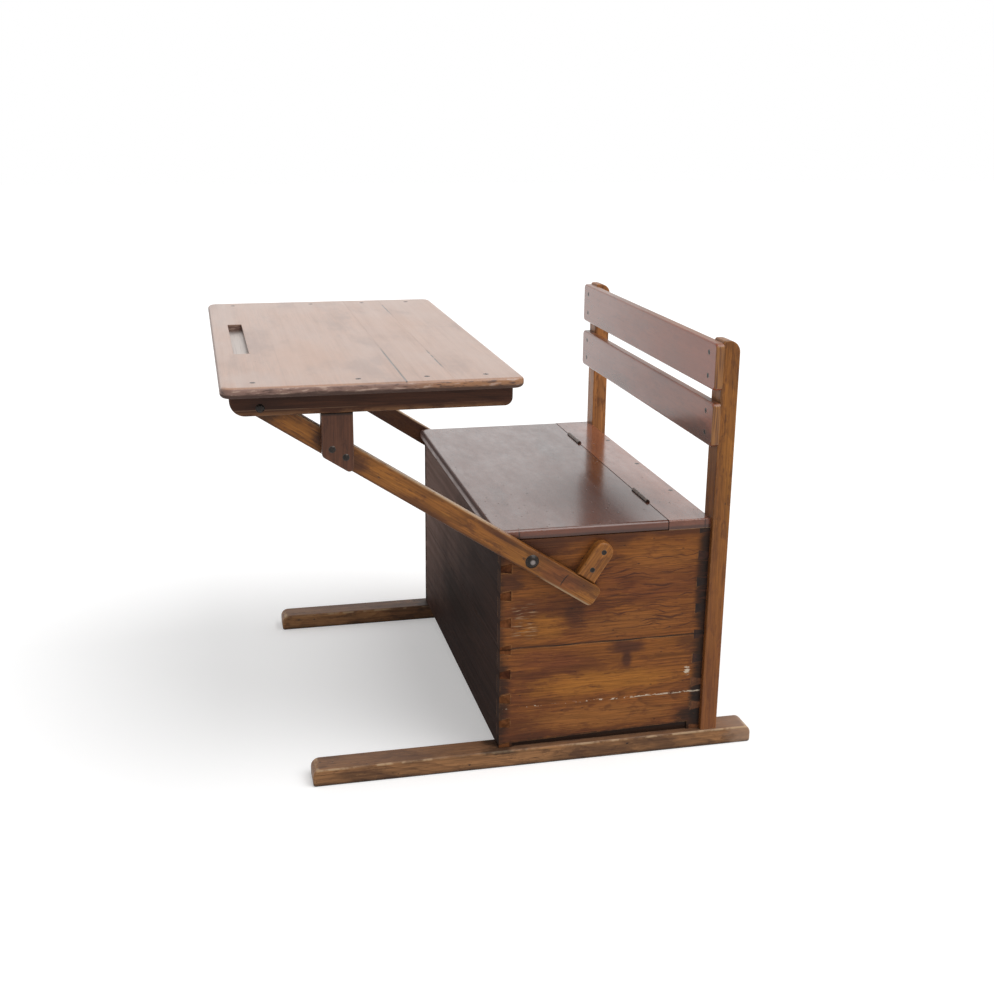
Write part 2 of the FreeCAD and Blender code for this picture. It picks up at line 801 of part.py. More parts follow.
def desktop_board(name, near, far, *screws):
    """Board of the desktop, rounded at the edges that lie on the desktop's rim."""
    body = new_body(f"desktop_board_{name}_blank")
    half = "(desk_width / 2)"
    pad(body, rectangle(new_sketch(body, "XY_Plane"), (f"-{half}", near), (half, far)), "desk_thickness")
    rim = {"front": value(near), "rear": value(far)}.get(name)
    if rim is not None:
        fillet(body, "desk_corner", lambda box: upright(box) and same(box.YMin, rim))
    seams = [value(edge) for edge in (near, far) if value(edge) != rim]

    def on_rim(box):
        level = same(box.ZLength, 0)
        at_seam_edge = same(box.YLength, 0) and any(same(box.YMin, seam) for seam in seams)
        return level and not at_seam_edge

    fillet(body, "desk_nose", on_rim)
    if name == "front":
        middle = f"({near} + groove_setback)"
        sketch = new_sketch(body, "XY_Plane", "desk_thickness")
        rectangle(
            sketch,
            ("-groove_length / 2", f"{middle} - groove_width / 2"),
            ("groove_length / 2", f"{middle} + groove_width / 2"),
        )
        pocket(body, sketch, "groove_depth")
    place(body, z=DESK_UNDER)
    seated(body, f"desktop_board_{name}", *screws)


def desktop_rail(side, *fasteners):
    name, sign = side
    body = new_body(f"desktop_rail_{name}_blank")
    near = f"({DESK_FRONT} + rail_setback)"
    far = f"({near} + rail_length)"
    sketch = rectangle(new_sketch(body, "YZ_Plane"), (near, RAIL_BOTTOM), (far, DESK_UNDER))
    pad(body, sketch, "rail_thickness")
    bottom = value(RAIL_BOTTOM)
    for end, radius in ((value(near), "rail_front_round"), (value(far), "rail_rear_round")):
        fillet(body, radius, across(end, bottom))
    soften(body, "rail_edge_round", ("0", "rail_thickness"), level_at(value(DESK_UNDER)))
    place(body, side_x(sign, RAIL_INNER, "rail_thickness"))
    seated(body, f"desktop_rail_{name}", *fasteners)


def main():
    sides = list(SIDES.items())
    board_edges = [DESK_FRONT]
    for width in ("front_board", "middle_board", "(desk_depth - front_board - middle_board)"):
        board_edges.append(f"({board_edges[-1]} + {width})")

    # Screws through the desktop boards into the rails
    desk_screw = wood_screw("desk_screw", "desk_screw_length")
    desk_lines = (
        f"{DESK_FRONT} + tilt_setback - bolt_neck",
        f"{board_edges[1]} - front_board / 4",
        f"({board_edges[1]} + {board_edges[2]}) / 2",
        f"({board_edges[2]} + {board_edges[3]}) / 2",
    )
    rail_line = f"({RAIL_INNER} + rail_thickness / 4)"
    desktop_screws = group(
        "desktop_screws",
        desk_screw,
        [
            ((f"{sign} * {rail_line}", y, "desk_height"), FACING["up"])
            for sign in SIDES.values()
            for y in desk_lines
        ],
    )

    # Screws of the back, box, seat and stop blocks
    row = ("row_end_share", "1 / 2", "(1 - row_end_share)")
    post_line = "(post_gauge / 2 - slat_screw_inset)"
    post_inner_line = "(post_gauge / 2 - post_screw_inset)"
    slat_heights = [
        f"({bottom} + {share} * {height})"
        for bottom, height in (
            ("upper_slat_bottom", "upper_slat_height"),
            ("lower_slat_bottom", "lower_slat_height"),
        )
        for share in ("slat_screw_low", "slat_screw_high")
    ]
    slat_screws = group(
        "slat_screws",
        wood_screw("slat_screw", "slat_screw_length"),
        [
            ((f"{sign} * {post_line}", f"{BOX_REAR} - slat_thickness", z), FACING["front"])
            for sign in SIDES.values()
            for z in slat_heights
        ],
    )
    post_screws = group(
        "post_screws",
        wood_screw("post_screw", "post_screw_length"),
        [
            ((f"{sign} * {post_inner_line}", f"{BOX_REAR} + post_depth", z), FACING["rear"])
            for sign in SIDES.values()
            for z in (
                "runner_height + lower_course / 3",
                "runner_height + lower_course + upper_course / 4",
                f"{BOX_TOP} - upper_course / 4",
            )
        ],
    )
    wall_line = "(box_width / 2 - box_wall / 2)"
    runner_screws = group(
        "runner_screws",
        wood_screw("runner_screw", "runner_screw_length"),
        [
            ((f"{sign} * {wall_line}", f"{BOX_FRONT} + {share} * box_depth", "0"), FACING["down"])
            for sign in SIDES.values()
            for share in row
        ],
    )
    strip_screws = group(
        "strip_screws",
        wood_screw("strip_screw", "strip_screw_length"),
        [
            ((f"{share} * box_width", f"{BOX_REAR} - box_wall / 2", SEAT_TOP), FACING["up"])
            for share in ("-strip_screw_spread", "0", "strip_screw_spread")
        ],
    )
    stop_points = [
        on_arm(f"({ARM_SPAN} + stop_offset)", f"(arm_width / 2 + {height})")
        for height in ("stop_screw_first", "stop_screw_second")
    ]
    stop_screws = group(
        "stop_block_screws",
        wood_screw("stop_screw", "stop_screw_length"),
        on_both_sides("box_width / 2 + stop_thickness", stop_points),
    )
    batten_screws = group(
        "lid_batten_screws",
        wood_screw("batten_screw", "batten_screw_length"),
        [
            (
                (
                    f"{sign} * batten_offset",
                    f"{SEAM} - lid_depth + batten_setback + {share} * batten_length",
                    f"{SEAT_TOP} - seat_thickness + rest_gap - batten_thickness",
                ),
                FACING["down"],
            )
            for sign in SIDES.values()
            for share in row
        ],
    )
    hinge_screw = wood_screw(
        "hinge_screw", "hinge_screw_length", "hinge_screw_head", "hinge_screw_shank"
    )
    hinge_screws = {}
    for label, sign, facing in (("hinge_lid_screws", -1, "rear"), ("hinge_strip_screws", 1, "front")):
        hinge_screws[label] = group(
            label,
            hinge_screw,
            [
                (
                    (
                        f"{side} * hinge_offset + {share} * hinge_length",
                        f"{SEAM} + {sign} * seam_gap / 2",
                        f"{SEAT_TOP} - leaf_drop - leaf_height / 2",
                    ),
                    FACING[facing],
                )
                for side in SIDES.values()
                for share in ("-hinge_screw_spread", "0", "hinge_screw_spread")
            ],
        )

    # Coach bolts, spacers, washers and nuts of the two pivots and the brackets
    pivot_grip = (
        "arm_gauge / 2 - box_width / 2 + box_wall + turning_gap"
        " + washer_thickness + nut_thickness + bolt_spare_thread"
    )
    tilt_grip = (
        "rail_gauge / 2 - arm_gauge / 2 + arm_thickness + turning_gap"
        " + washer_thickness + nut_thickness + bolt_spare_thread"
    )
    bracket_grip = "bracket_thickness + arm_thickness + small_nut_thickness + bolt_spare_thread"
    nut = square_nut("nut", "nut_size", "nut_thickness", "bolt_radius")
    thin_washer = washer("thin_washer", "washer_thickness")
    bolts = {}
    for name, grip, head, height, seat, bore_face, spacer_face, spacer_room, point in (
        (
            "pivot",
            pivot_grip,
            "pivot_head_radius",
            "pivot_head_height",
            "arm_gauge / 2",
            "(box_width / 2 - box_wall - turning_gap)",
            ARM_INNER,
            f"{ARM_INNER} - box_width / 2 - turning_gap",
            PIVOT,
        ),
        (
            "tilt",
            tilt_grip,
            "tilt_head_radius",
            "tilt_head_height",
            "rail_gauge / 2",
            f"({ARM_INNER} - turning_gap)",
            RAIL_INNER,
            f"{RAIL_INNER} - arm_gauge / 2 - turning_gap",
            TILT,
        ),
    ):
        bolt = coach_bolt(f"{name}_bolt", grip, "bolt_radius", head, height)
        for side, place_on_side in zip(SIDES, on_both_sides(seat, [point])):
            bolts[name, side] = group(f"{name}_bolt_{side}", bolt, [place_on_side])
        spacer = washer(f"{name}_spacer", spacer_room)
        group(f"{name}_spacers", spacer, on_both_sides(spacer_face, [point]))
        group(f"{name}_washers", thin_washer, on_both_sides(bore_face, [point]))
        group(f"{name}_nuts", nut, on_both_sides(f"{bore_face} - washer_thickness", [point]))
    bracket_points = [on_arm(along, "0") for along in ("bracket_bolt_first", "bracket_bolt_second")]
    bracket_bolt = coach_bolt(
        "bracket_bolt", bracket_grip, "small_bolt_radius", "small_bolt_head", "small_bolt_head_height"
    )
    bracket_bolts = group(
        "bracket_bolts", bracket_bolt, on_both_sides("arm_gauge / 2 + bracket_thickness", bracket_points)
    )
    small_nut = square_nut("small_nut", "small_nut_size", "small_nut_thickness", "small_bolt_radius")
    group("bracket_nuts", small_nut, on_both_sides(ARM_INNER, bracket_points))

    # Boards
    courses = {
        "lower": ("lower_course", "runner_height"),
        "upper": ("upper_course", "(runner_height + lower_course)"),
    }
    for side in sides:
        runner(side, runner_screws)
        back_post(side, slat_screws, post_screws)
        for course, (height, bottom) in courses.items():
            box_side(side, course, height, bottom, {"lower": runner_screws, "upper": stop_screws}[course])
        stop_block(side, stop_screws)
        lid_batten(side, batten_screws)
        hinge_pin(side)
        middle = f"({side[1]} * hinge_offset)"
        hinge_leaf(f"hinge_strip_leaf_{side[0]}", 1, middle, 0, 3, hinge_screws["hinge_strip_screws"])
        hinge_leaf(f"hinge_lid_leaf_{side[0]}", -1, middle, 1, 2, hinge_screws["hinge_lid_screws"])
        arm(side, bolts["pivot", side[0]], bracket_bolts)
        arm_bracket(side, bracket_bolts)
        desktop_rail(side, desktop_screws, bolts["tilt", side[0]])
    for course, (height, bottom) in courses.items():
        box_end("front", course, height, bottom)
        box_end("back", course, height, bottom, *([post_screws] + [strip_screws] * (course == "upper")))
    box_floor()
    back_slat("upper", "upper_slat_bottom", "upper_slat_height", slat_screws)
    back_slat("lower", "lower_slat_bottom", "lower_slat_height", slat_screws)
    seat_lid(batten_screws, hinge_screws["hinge_lid_screws"])
    seat_strip(strip_screws, hinge_screws["hinge_strip_screws"])
    for name, near, far in zip(("front", "middle", "rear"), board_edges, board_edges[1:]):
        desktop_board(name, near, far, desktop_screws)


def export():
    """Write each sub-part's solids once every object in the document is sound."""
    doc.recompute()
    for thing in doc.Objects:
        if {"Invalid", "Error"} & set(thing.State):
            raise RuntimeError(f"{thing.Label} did not build: {thing.State}")
    for thing in nodes:
        if thing.Shape.isNull() or not thing.Shape.isValid() or not thing.Shape.Solids:
            raise RuntimeError(f"{thing.Label} has no valid solid")
    os.makedirs("parts", exist_ok=True)
    for thing in nodes:
        thing.Shape.exportStep(f"parts/{thing.Label}.step")
    whole = Part.makeCompound([thing.Shape for thing in nodes]).BoundBox
    print(f"{len(nodes)} nodes, X {whole.XMin:.2f} {whole.XMax:.2f}, Y {whole.YMin:.2f} {whole.YMax:.2f}, "
          f"Z {whole.ZMin:.2f} {whole.ZMax:.2f}")


main()
export()
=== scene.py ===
import json
import math
import random
from types import SimpleNamespace

import bmesh
import bpy
from mathutils import Matrix, Vector


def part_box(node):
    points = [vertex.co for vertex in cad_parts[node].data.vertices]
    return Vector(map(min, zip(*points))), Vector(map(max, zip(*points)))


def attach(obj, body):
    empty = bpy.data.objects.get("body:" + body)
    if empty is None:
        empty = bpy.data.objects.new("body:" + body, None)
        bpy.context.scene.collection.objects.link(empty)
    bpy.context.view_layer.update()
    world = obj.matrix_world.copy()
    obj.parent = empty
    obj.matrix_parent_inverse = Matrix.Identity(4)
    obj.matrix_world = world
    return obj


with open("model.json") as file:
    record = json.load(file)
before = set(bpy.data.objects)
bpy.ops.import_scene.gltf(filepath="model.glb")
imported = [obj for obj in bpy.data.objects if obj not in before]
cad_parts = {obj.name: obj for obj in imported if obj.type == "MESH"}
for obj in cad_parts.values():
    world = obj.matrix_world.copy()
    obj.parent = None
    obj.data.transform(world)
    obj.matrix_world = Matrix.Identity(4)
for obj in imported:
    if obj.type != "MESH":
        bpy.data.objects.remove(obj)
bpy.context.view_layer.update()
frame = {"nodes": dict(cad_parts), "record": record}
NODES = frame["nodes"]

# The camera that took the photograph, in the part's frame, in metres and pixels.
IMAGE_LONG_SIDE = 995
FOCAL_PIXELS = 1291.244
SENSOR = 36
EYE = Vector((2.17885, -0.45566, 1.03764))
FORWARD = Vector((-0.93036181, 0.22096551, -0.29257675))
ROLL = math.radians(0.577)

X_AXIS, Y_AXIS, Z_AXIS = Vector((1, 0, 0)), Vector((0, 1, 0)), Vector((0, 0, 1))
JOINTS = {joint["name"]: joint for joint in frame["record"]["behaviour"]["joints"]}
ARM_PIVOT = Vector(JOINTS["arm_swing"]["pos_m"])
ARM_TILT = Vector(JOINTS["desk_tilt"]["pos_m"])
ALONG_ARM = (ARM_TILT - ARM_PIVOT).normalized()
ACROSS_ARM = X_AXIS.cross(ALONG_ARM)
ARM_START, ARM_MIDDLE = ARM_PIVOT.dot(ALONG_ARM), ARM_PIVOT.dot(ACROSS_ARM)

# Faces of the main pieces, in metres, from the low and high corners of their boxes.
(SIDE_IN, _, BOX_FOOT), (SIDE_OUT, _, BOARD_JOINT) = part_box("box_side_left_lower")
(_, FRONT_OUT, _), (_, FRONT_IN, _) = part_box("box_front_lower")
(_, BACK_IN, _), (_, BACK_OUT, _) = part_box("box_back_lower")
(_, LID_FRONT, SEAT_UNDER), (_, _, SEAT_TOP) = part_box("seat_lid")
(_, _, DESK_UNDER), (_, FIRST_SEAM, DESK_TOP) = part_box("desktop_board_front")
SECOND_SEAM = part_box("desktop_board_middle")[1][1]
RAIL_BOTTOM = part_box("desktop_rail_left")[0][2]
ARM_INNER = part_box("arm_left")[0][0]
SLAT_END, SLAT_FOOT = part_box("back_slat_upper")[1][0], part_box("back_slat_lower")[0][2]
_, RUNNER_TAIL, RUNNER_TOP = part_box("runner_left")[1]
GROOVE_X, GROOVE_Y = (-0.14, 0.14), (-0.399, -0.372)
SKIN = 0.0004

# Sockets of the Mix node when it mixes colours.
MIX_SHARE, MIX_A, MIX_B, MIX_RESULT = 0, 6, 7, 2
# Samples of the bevel and occlusion nodes, and what they give on flats and edges, in the open and deep in.
EDGE_SAMPLES, EDGE_FLAT, EDGE_SHARP = 4, 0.995, 0.86
CREVICE_SAMPLES, CREVICE_OPEN, CREVICE_DEEP = 6, 0.78, 0.2
NOISE_MIDDLE = 0.5


def operator(operation):
    """A method that adds a math node."""
    return lambda value, *others: value.nodes.math(operation, value, *others)


class Value:
    """A value in a material: sums, soft steps and tints of it add nodes. a | b is the larger of two."""

    def __init__(self, nodes, socket):
        self.nodes = nodes
        self.socket = socket

    __add__ = __radd__ = operator("ADD")
    __sub__ = operator("SUBTRACT")
    __mul__ = operator("MULTIPLY")
    __truediv__ = operator("DIVIDE")
    __or__ = operator("MAXIMUM")
    __gt__ = operator("GREATER_THAN")
    __abs__ = operator("ABSOLUTE")

    def __rsub__(self, other):
        return self.nodes.math("SUBTRACT", other, self)

    def smooth(self, low, high, to_low=0, to_high=1):
        """to_low at low, to_high at high, and a soft step between."""
        made = self.nodes.add("ShaderNodeMapRange", interpolation_type="SMOOTHSTEP")
        limits = dict(From_Min=low, From_Max=high, To_Min=to_low, To_Max=to_high)
        return self.nodes.fill(made, 0, Value=self, **limits)

    def above(self, edge, soft):
        return self.smooth(edge - soft, edge + soft)

    def below(self, edge, soft):
        return self.smooth(edge + soft, edge - soft)

    def within(self, low, high, soft):
        return self.above(low, soft) * self.below(high, soft)

    def line(self, at, half, soft):
        """1 in a line of some half width at a level."""
        return abs(self - at).below(half, soft)

    def wander(self, size):
        """A noise turned into a shift of up to half of size either way."""
        return (self - NOISE_MIDDLE) * size

    def tint(self, tone, share):
        """This colour with another over it by a share."""
        return self.nodes.mix(share, self, tone)


class Nodes:
    """The node tree of a material or a world, with a short call for each kind of node."""

    def __init__(self, tree):
        self.tree = tree

    def add(self, kind, **settings):
        made = self.tree.nodes.new(kind)
        for key, value in settings.items():
            setattr(made, key, value)
        return made

    def put(self, socket, value):
        if isinstance(value, Value):
            self.tree.links.new(value.socket, socket)
        else:
            socket.default_value = value

    def fill(self, made, output, *values, **named):
        """Set or link a node's inputs, in order or by name, and give one output."""
        for socket, value in zip(made.inputs, values):
            self.put(socket, value)
        for key, value in named.items():
            self.put(made.inputs[key.replace("_", " ")], value)
        return Value(self, made.outputs[output])

    def math(self, operation, *values):
        return self.fill(self.add("ShaderNodeMath", operation=operation), 0, *values)

    def root(self, a, b):
        """Root of the sum of two squares."""
        return self.math("SQRT", a * a + b * b)

    def dot(self, a, b):
        return self.fill(self.add("ShaderNodeVectorMath", operation="DOT_PRODUCT"), "Value", a, b)

    def vector(self, x, y, z):
        return self.fill(self.add("ShaderNodeCombineXYZ"), 0, x, y, z)

    def texture(self, vector, detail, roughness, scale=1):
        made = self.add("ShaderNodeTexNoise")
        return self.fill(made, "Fac", Vector=vector, Scale=scale, Detail=detail, Roughness=roughness)

    def noise(self, x, y, z, detail=2, roughness=0.5):
        return self.texture(self.vector(x, y, z), detail, roughness)

    def dots(self, vector, size, threshold):
        """1 in small dots: one in each cell of a scattered net with a random tone above the threshold."""
        net = self.add("ShaderNodeTexVoronoi")
        tone = self.fill(net, "Color", Vector=vector, Scale=1)
        return (tone > threshold) * self.fill(net, "Distance").smooth(size, size / 2)

    def ramp(self, value, *stops):
        made = self.add("ShaderNodeValToRGB")
        elements = made.color_ramp.elements
        while len(elements) < len(stops):
            elements.new(1)
        for element, (position, level) in zip(elements, stops):
            element.position = position
            element.color = (level, level, level, 1)
        return self.fill(made, "Color", Fac=value)

    def mix(self, share, a, b, blend="MIX"):
        """b over a by a share; a colour is a name in TINTS, three numbers or a value."""
        made = self.add("ShaderNodeMix", data_type="RGBA", blend_type=blend)
        self.put(made.inputs[MIX_SHARE], share)
        for index, colour in ((MIX_A, a), (MIX_B, b)):
            colour = TINTS[colour] if isinstance(colour, str) else colour
            self.put(made.inputs[index], (*colour, 1) if isinstance(colour, tuple) else colour)
        return Value(self, made.outputs[MIX_RESULT])

    def shaded(self, colour, level):
        """colour, lighter or darker by level."""
        grey = self.fill(self.add("ShaderNodeCombineColor"), 0, level, level, level)
        return self.mix(1, colour, grey, "MULTIPLY")


def blank_material(name):
    made = bpy.data.materials.new(name)
    made.use_nodes = True
    made.node_tree.nodes.clear()
    return made


class Paint(Nodes):
    """A material with one shader, on the part's own coordinates."""

    def __init__(self, name):
        self.material = blank_material(name)
        super().__init__(self.material.node_tree)
        self.shader = self.add("ShaderNodeBsdfPrincipled")
        self.put(self.add("ShaderNodeOutputMaterial").inputs["Surface"], self.fill(self.shader, "BSDF"))
        self.place = self.fill(self.add("ShaderNodeTexCoord"), "Object")
        geometry = self.add("ShaderNodeNewGeometry")
        self.normal = self.fill(geometry, "Normal")
        self.face_normal = self.fill(geometry, "True Normal")

    def set(self, **values):
        self.fill(self.shader, "BSDF", **values)

    def edges(self, radius):
        """1 on the part's own edges, 0 on its flats."""
        bevel = self.fill(self.add("ShaderNodeBevel", samples=EDGE_SAMPLES), 0, Radius=radius)
        return self.dot(bevel, self.normal).smooth(EDGE_FLAT, EDGE_SHARP)

    def crevice_shade(self, distance):
        """1 deep in corners, 0 in the open: an occlusion mask for painted shade."""
        made = self.add("ShaderNodeAmbientOcclusion", samples=CREVICE_SAMPLES)
        return self.fill(made, "AO", Distance=distance).smooth(CREVICE_OPEN, CREVICE_DEEP)

    def bump(self, height, depth):
        made = self.add("ShaderNodeBump")
        self.set(Normal=self.fill(made, 0, Strength=1, Distance=depth, Height=height))


# How far apart the noises of two seeds are.
SEED_STEP = 7.31
# One growth ring, from its early wood to its late wood: place in the ring, darkness.
RING_PROFILE = ((0, 0), (0.45, 0.1), (0.78, 0.6), (0.92, 1), (1, 0.05))
RING_WAVER = 0.0045
STAIN_SOFT = 0.16
# How far the outline of a patch strays, and where it starts and is full, in its half sizes.
PATCH_RAGGED, PATCH_STREAKED, PATCH_START, PATCH_FULL = 1.1, 0.5, 1.15, 0.35
# What adds to the roughness, and what raises or lowers the surface.
STREAK_ROUGH, RUBBED_ROUGH, DIRT_ROUGH = 0.12, 0.12, 0.2
RING_RISE, FIBRE_RISE, STREAK_RISE, NICK_RISE = -0.35, 0.5, 0.5, -3


class Wood(Paint):
    """Solid timber: growth rings about a pith line, fibres, stain, edges lightened by wear and a painted
    highlight, and dirt with painted shade in corners.
    """

    def __init__(self, node, seed, look):
        super().__init__(f"{node}_wood")
        self.look = SimpleNamespace(**{**PLAIN_LOOK, **look})
        low, high = (Vector(corner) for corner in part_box(node))
        middle = (low + high) / 2
        axes = grain, across, depth = self.look.axes
        self.along, self.across, self.depth = (self.dot(self.place, axis) for axis in axes)
        self.x, self.y, self.z = (self.dot(self.place, axis) for axis in (X_AXIS, Y_AXIS, Z_AXIS))
        self.out = abs(self.x)
        self.seed = seed
        rng = random.Random(seed)
        self.pith_across = middle.dot(across) + rng.uniform(-1, 1) * self.look.pith_aside
        self.pith_depth = middle.dot(depth) + self.look.pith_depth * rng.choice((-1, 1))
        self.lean = rng.uniform(-1, 1) * self.look.lean
        self.middle_along = middle.dot(grain)
        self.fibre = self.grain(along=11, across=420, detail=3, roughness=0.6)
        self.streak = self.grain(along=3, across=110, shift=9, detail=3, roughness=0.55)
        self.tone = self.grain(along=2.4, across=8, shift=21, detail=3, roughness=0.55)
        self.cloud = self.grain(along=5, across=17, shift=33, detail=4, roughness=0.62)
        self.ragged = self.grain(along=28, across=75, shift=51, detail=4, roughness=0.65)

    def stretched(self, along, across, shift=0):
        """Coordinates in cycles per metre along and across the grain."""
        moved = self.along * along + (self.seed * SEED_STEP + shift)
        return self.vector(moved, self.across * across, self.depth * across)

    def grain(self, along, across, shift=0, detail=2, roughness=0.5):
        """Noise drawn out along the grain."""
        return self.texture(self.stretched(along, across, shift), detail, roughness)

    def slanted(self, slope, along, aside, shift):
        """Noise over a level face, drawn out at a slope to its grain."""
        return self.noise((self.x + self.y * slope) * along, (self.y - self.x * slope) * aside, shift)

    def rings(self):
        wide = self.grain(along=2.2, across=7)
        fine = self.grain(along=14, across=60, shift=3)
        leaning = (self.along - self.middle_along) * self.lean
        radius = self.root(self.across - self.pith_across, self.depth - self.pith_depth + leaning)
        radius = radius + wide.wander(self.look.swirl) + fine.wander(RING_WAVER)
        return self.ramp(self.math("FRACT", radius / self.look.ring), *RING_PROFILE)

    def patch(self, along, across, long, wide):
        """1 inside a ragged oval on the face."""
        away = self.root((self.along - along) / long, (self.across - across) / wide)
        away = away + self.ragged.wander(PATCH_RAGGED) + self.streak.wander(PATCH_STREAKED)
        return away.smooth(PATCH_START, PATCH_FULL)

    def tint(self, tone, share):
        """Lay a colour over the wood by a share."""
        self.colour = self.colour.tint(tone, share)

    def grain_colour(self):
        look = self.look
        ring = self.rings() * self.tone.smooth(0.3, 0.7, to_low=0.6)
        self.colour = self.mix(ring * look.ring_show, look.early, look.late)
        self.tint(look.late, self.streak.smooth(0.52, 0.72, to_high=look.streak_show))
        self.tint(look.tone, self.tone.smooth(0.36, 0.66, to_high=look.tone_show))
        stained = self.cloud.smooth(look.stain_from, look.stain_from + STAIN_SOFT)
        self.tint(look.stain, stained * look.stain_show)
        for tint, share, *where in look.spots:
            self.tint(tint, self.patch(*where) * share)
        mottle = self.grain(along=24, across=62, shift=87, detail=5, roughness=0.68)
        self.tint(look.tone, mottle.smooth(0.42, 0.32, to_high=look.mottle_show))
        self.tint(look.stain, mottle.smooth(0.53, 0.63, to_high=look.mottle_show))
        flecks = self.grain(along=42, across=640, shift=61).smooth(0.58, 0.68)
        self.tint(look.stain, flecks * self.ragged.smooth(0.42, 0.58) * look.fleck_show)
        contrast = look.fibre_show
        fibres = self.fibre.smooth(0.25, 0.75, 1 - contrast, 1 + contrast)
        self.colour = self.shaded(self.colour, fibres)
        return ring

    def finish(self, marks=None):
        look = self.look
        ring = self.grain_colour()
        nicks = self.dots(self.stretched(along=55, across=90, shift=71), size=0.16, threshold=0.66)
        self.tint(look.grime, nicks * look.nick_show)
        # Edges lightened: wear, and a painted highlight where edges would catch the light.
        worn_and_lit = self.edges(look.edge) * self.ragged.smooth(0.4, 0.6)
        self.tint(look.worn, worn_and_lit * look.worn_show)
        # Painted shade: corners and gaps between parts darkened by occlusion, with dirt.
        crevice_dirt_and_shade = self.crevice_shade(look.reach) * self.ragged.smooth(0.25, 0.6, to_low=0.55)
        self.tint(look.grime, crevice_dirt_and_shade * look.grime_show)
        rough = look.rough + self.streak.wander(STREAK_ROUGH) + self.cloud.wander(look.smear)
        self.rough = rough + worn_and_lit * RUBBED_ROUGH + crevice_dirt_and_shade * DIRT_ROUGH
        self.height = ring * RING_RISE + self.fibre * FIBRE_RISE + self.streak * STREAK_RISE
        self.height += nicks * (NICK_RISE * look.nick_show)
        self.set(IOR=look.ior, Coat_Weight=look.coat, Coat_Roughness=look.coat_rough)
        if marks:
            marks(self)
        self.set(Base_Color=self.colour, Roughness=self.rough)
        self.bump(self.height, look.bump)
        return self.material


# Grain directions: along the board, across its face, through its thickness.
GRAIN_X_FLAT = (X_AXIS, Y_AXIS, Z_AXIS)
GRAIN_Y_FLAT = (Y_AXIS, X_AXIS, Z_AXIS)
GRAIN_X_UP = (X_AXIS, Z_AXIS, Y_AXIS)
GRAIN_Y_UP = (Y_AXIS, Z_AXIS, X_AXIS)
GRAIN_Z = (Z_AXIS, Y_AXIS, X_AXIS)
GRAIN_ARM = (ALONG_ARM, ACROSS_ARM, X_AXIS)
GRAIN_BLOCK = (ACROSS_ARM, ALONG_ARM, X_AXIS)

# Colours of the marks, linear RGB.
TINTS = {
    "amber": (0.33, 0.126, 0.022),
    "honey": (0.27, 0.104, 0.026),
    "russet": (0.145, 0.042, 0.016),
    "umber": (0.062, 0.021, 0.011),
    "soot_and_shade": (0.013, 0.007, 0.005),
    "pale": (0.5, 0.34, 0.2),
    "bare": (0.38, 0.215, 0.112),
    "crack": (0.035, 0.02, 0.015),
    "pale_paint": (0.62, 0.52, 0.4),
    "front_pin": (0.14, 0.05, 0.019),
    "back_pin": (0.022, 0.01, 0.007),
    "low_pin": (0.135, 0.05, 0.019),
    "front_haze": (0.158, 0.095, 0.076),
    "front_grain": (0.112, 0.064, 0.05),
    "lid_rim": (0.15, 0.048, 0.026),
    "lid_edge_shade": (0.036, 0.016, 0.012),
    "lid_lip_highlight": (0.13, 0.082, 0.07),
    "lid_speck": (0.03, 0.014, 0.01),
    "lid_dull": (0.046, 0.015, 0.009),
    "lid_scratch": (0.16, 0.09, 0.075),
    "groove_floor": (0.42, 0.33, 0.28),
    "groove_end_shade": (0.07, 0.04, 0.03),
    "groove_line": (0.16, 0.1, 0.075),
    "groove_wall": (0.085, 0.048, 0.036),
    "desk_haze": (0.385, 0.23, 0.162),
    "desk_wear": (0.24, 0.118, 0.072),
    "desk_warm": (0.395, 0.19, 0.095),
    "desk_cool": (0.39, 0.255, 0.195),
    "desk_line": (0.195, 0.096, 0.06),
    "desk_scratch": (0.175, 0.088, 0.058),
    "rim_front": (0.2, 0.112, 0.085),
    "rim_rear": (0.29, 0.135, 0.06),
    "rim_light_chip": (0.42, 0.29, 0.23),
    "rim_dark_chip": (0.06, 0.026, 0.019),
    "rim_foot": (0.046, 0.022, 0.016),
    "sawn_light": (0.215, 0.118, 0.066),
    "sawn_dark": (0.092, 0.047, 0.028),
    "sawn_stain": (0.07, 0.036, 0.022),
    "rail_wear_and_highlight": (0.185, 0.088, 0.04),
    "rail_line": (0.26, 0.15, 0.09),
    "slat_red": (0.33, 0.084, 0.04),
    "slat_back_dark": (0.15, 0.058, 0.026),
    "slat_back_light": (0.205, 0.084, 0.035),
    "slat_back_streak": (0.085, 0.031, 0.015),
    "slat_end_light": (0.3, 0.125, 0.032),
    "slat_end_dark": (0.125, 0.044, 0.015),
    "runner_tail": (0.34, 0.225, 0.155),
    "runner_top": (0.145, 0.08, 0.056),
    "iron_edge": (0.15, 0.13, 0.12),
    "iron_dirt_and_shade": (0.01, 0.008, 0.007),
    "iron_crown_highlight": (0.3, 0.26, 0.245),
    "slot_dark": (0.008, 0.006, 0.005),
    "slot_dust_and_shade": (0.03, 0.02, 0.014),
}

PLAIN_LOOK = dict(
    ring=0.0055, ring_show=0.85, streak_show=0.55, tone_show=0.5, stain_from=0.52, stain_show=0.5,
    fibre_show=0.3, mottle_show=0, fleck_show=0.5, nick_show=0.5, worn_show=0.7, grime_show=0.75,
    edge=0.004, reach=0.02, smear=0, rough=0.36, ior=1.3, coat=0, coat_rough=0.2, bump=0.00025,
    swirl=0.035, pith_aside=0.03, pith_depth=0.09, lean=0.05, spots=(),
)

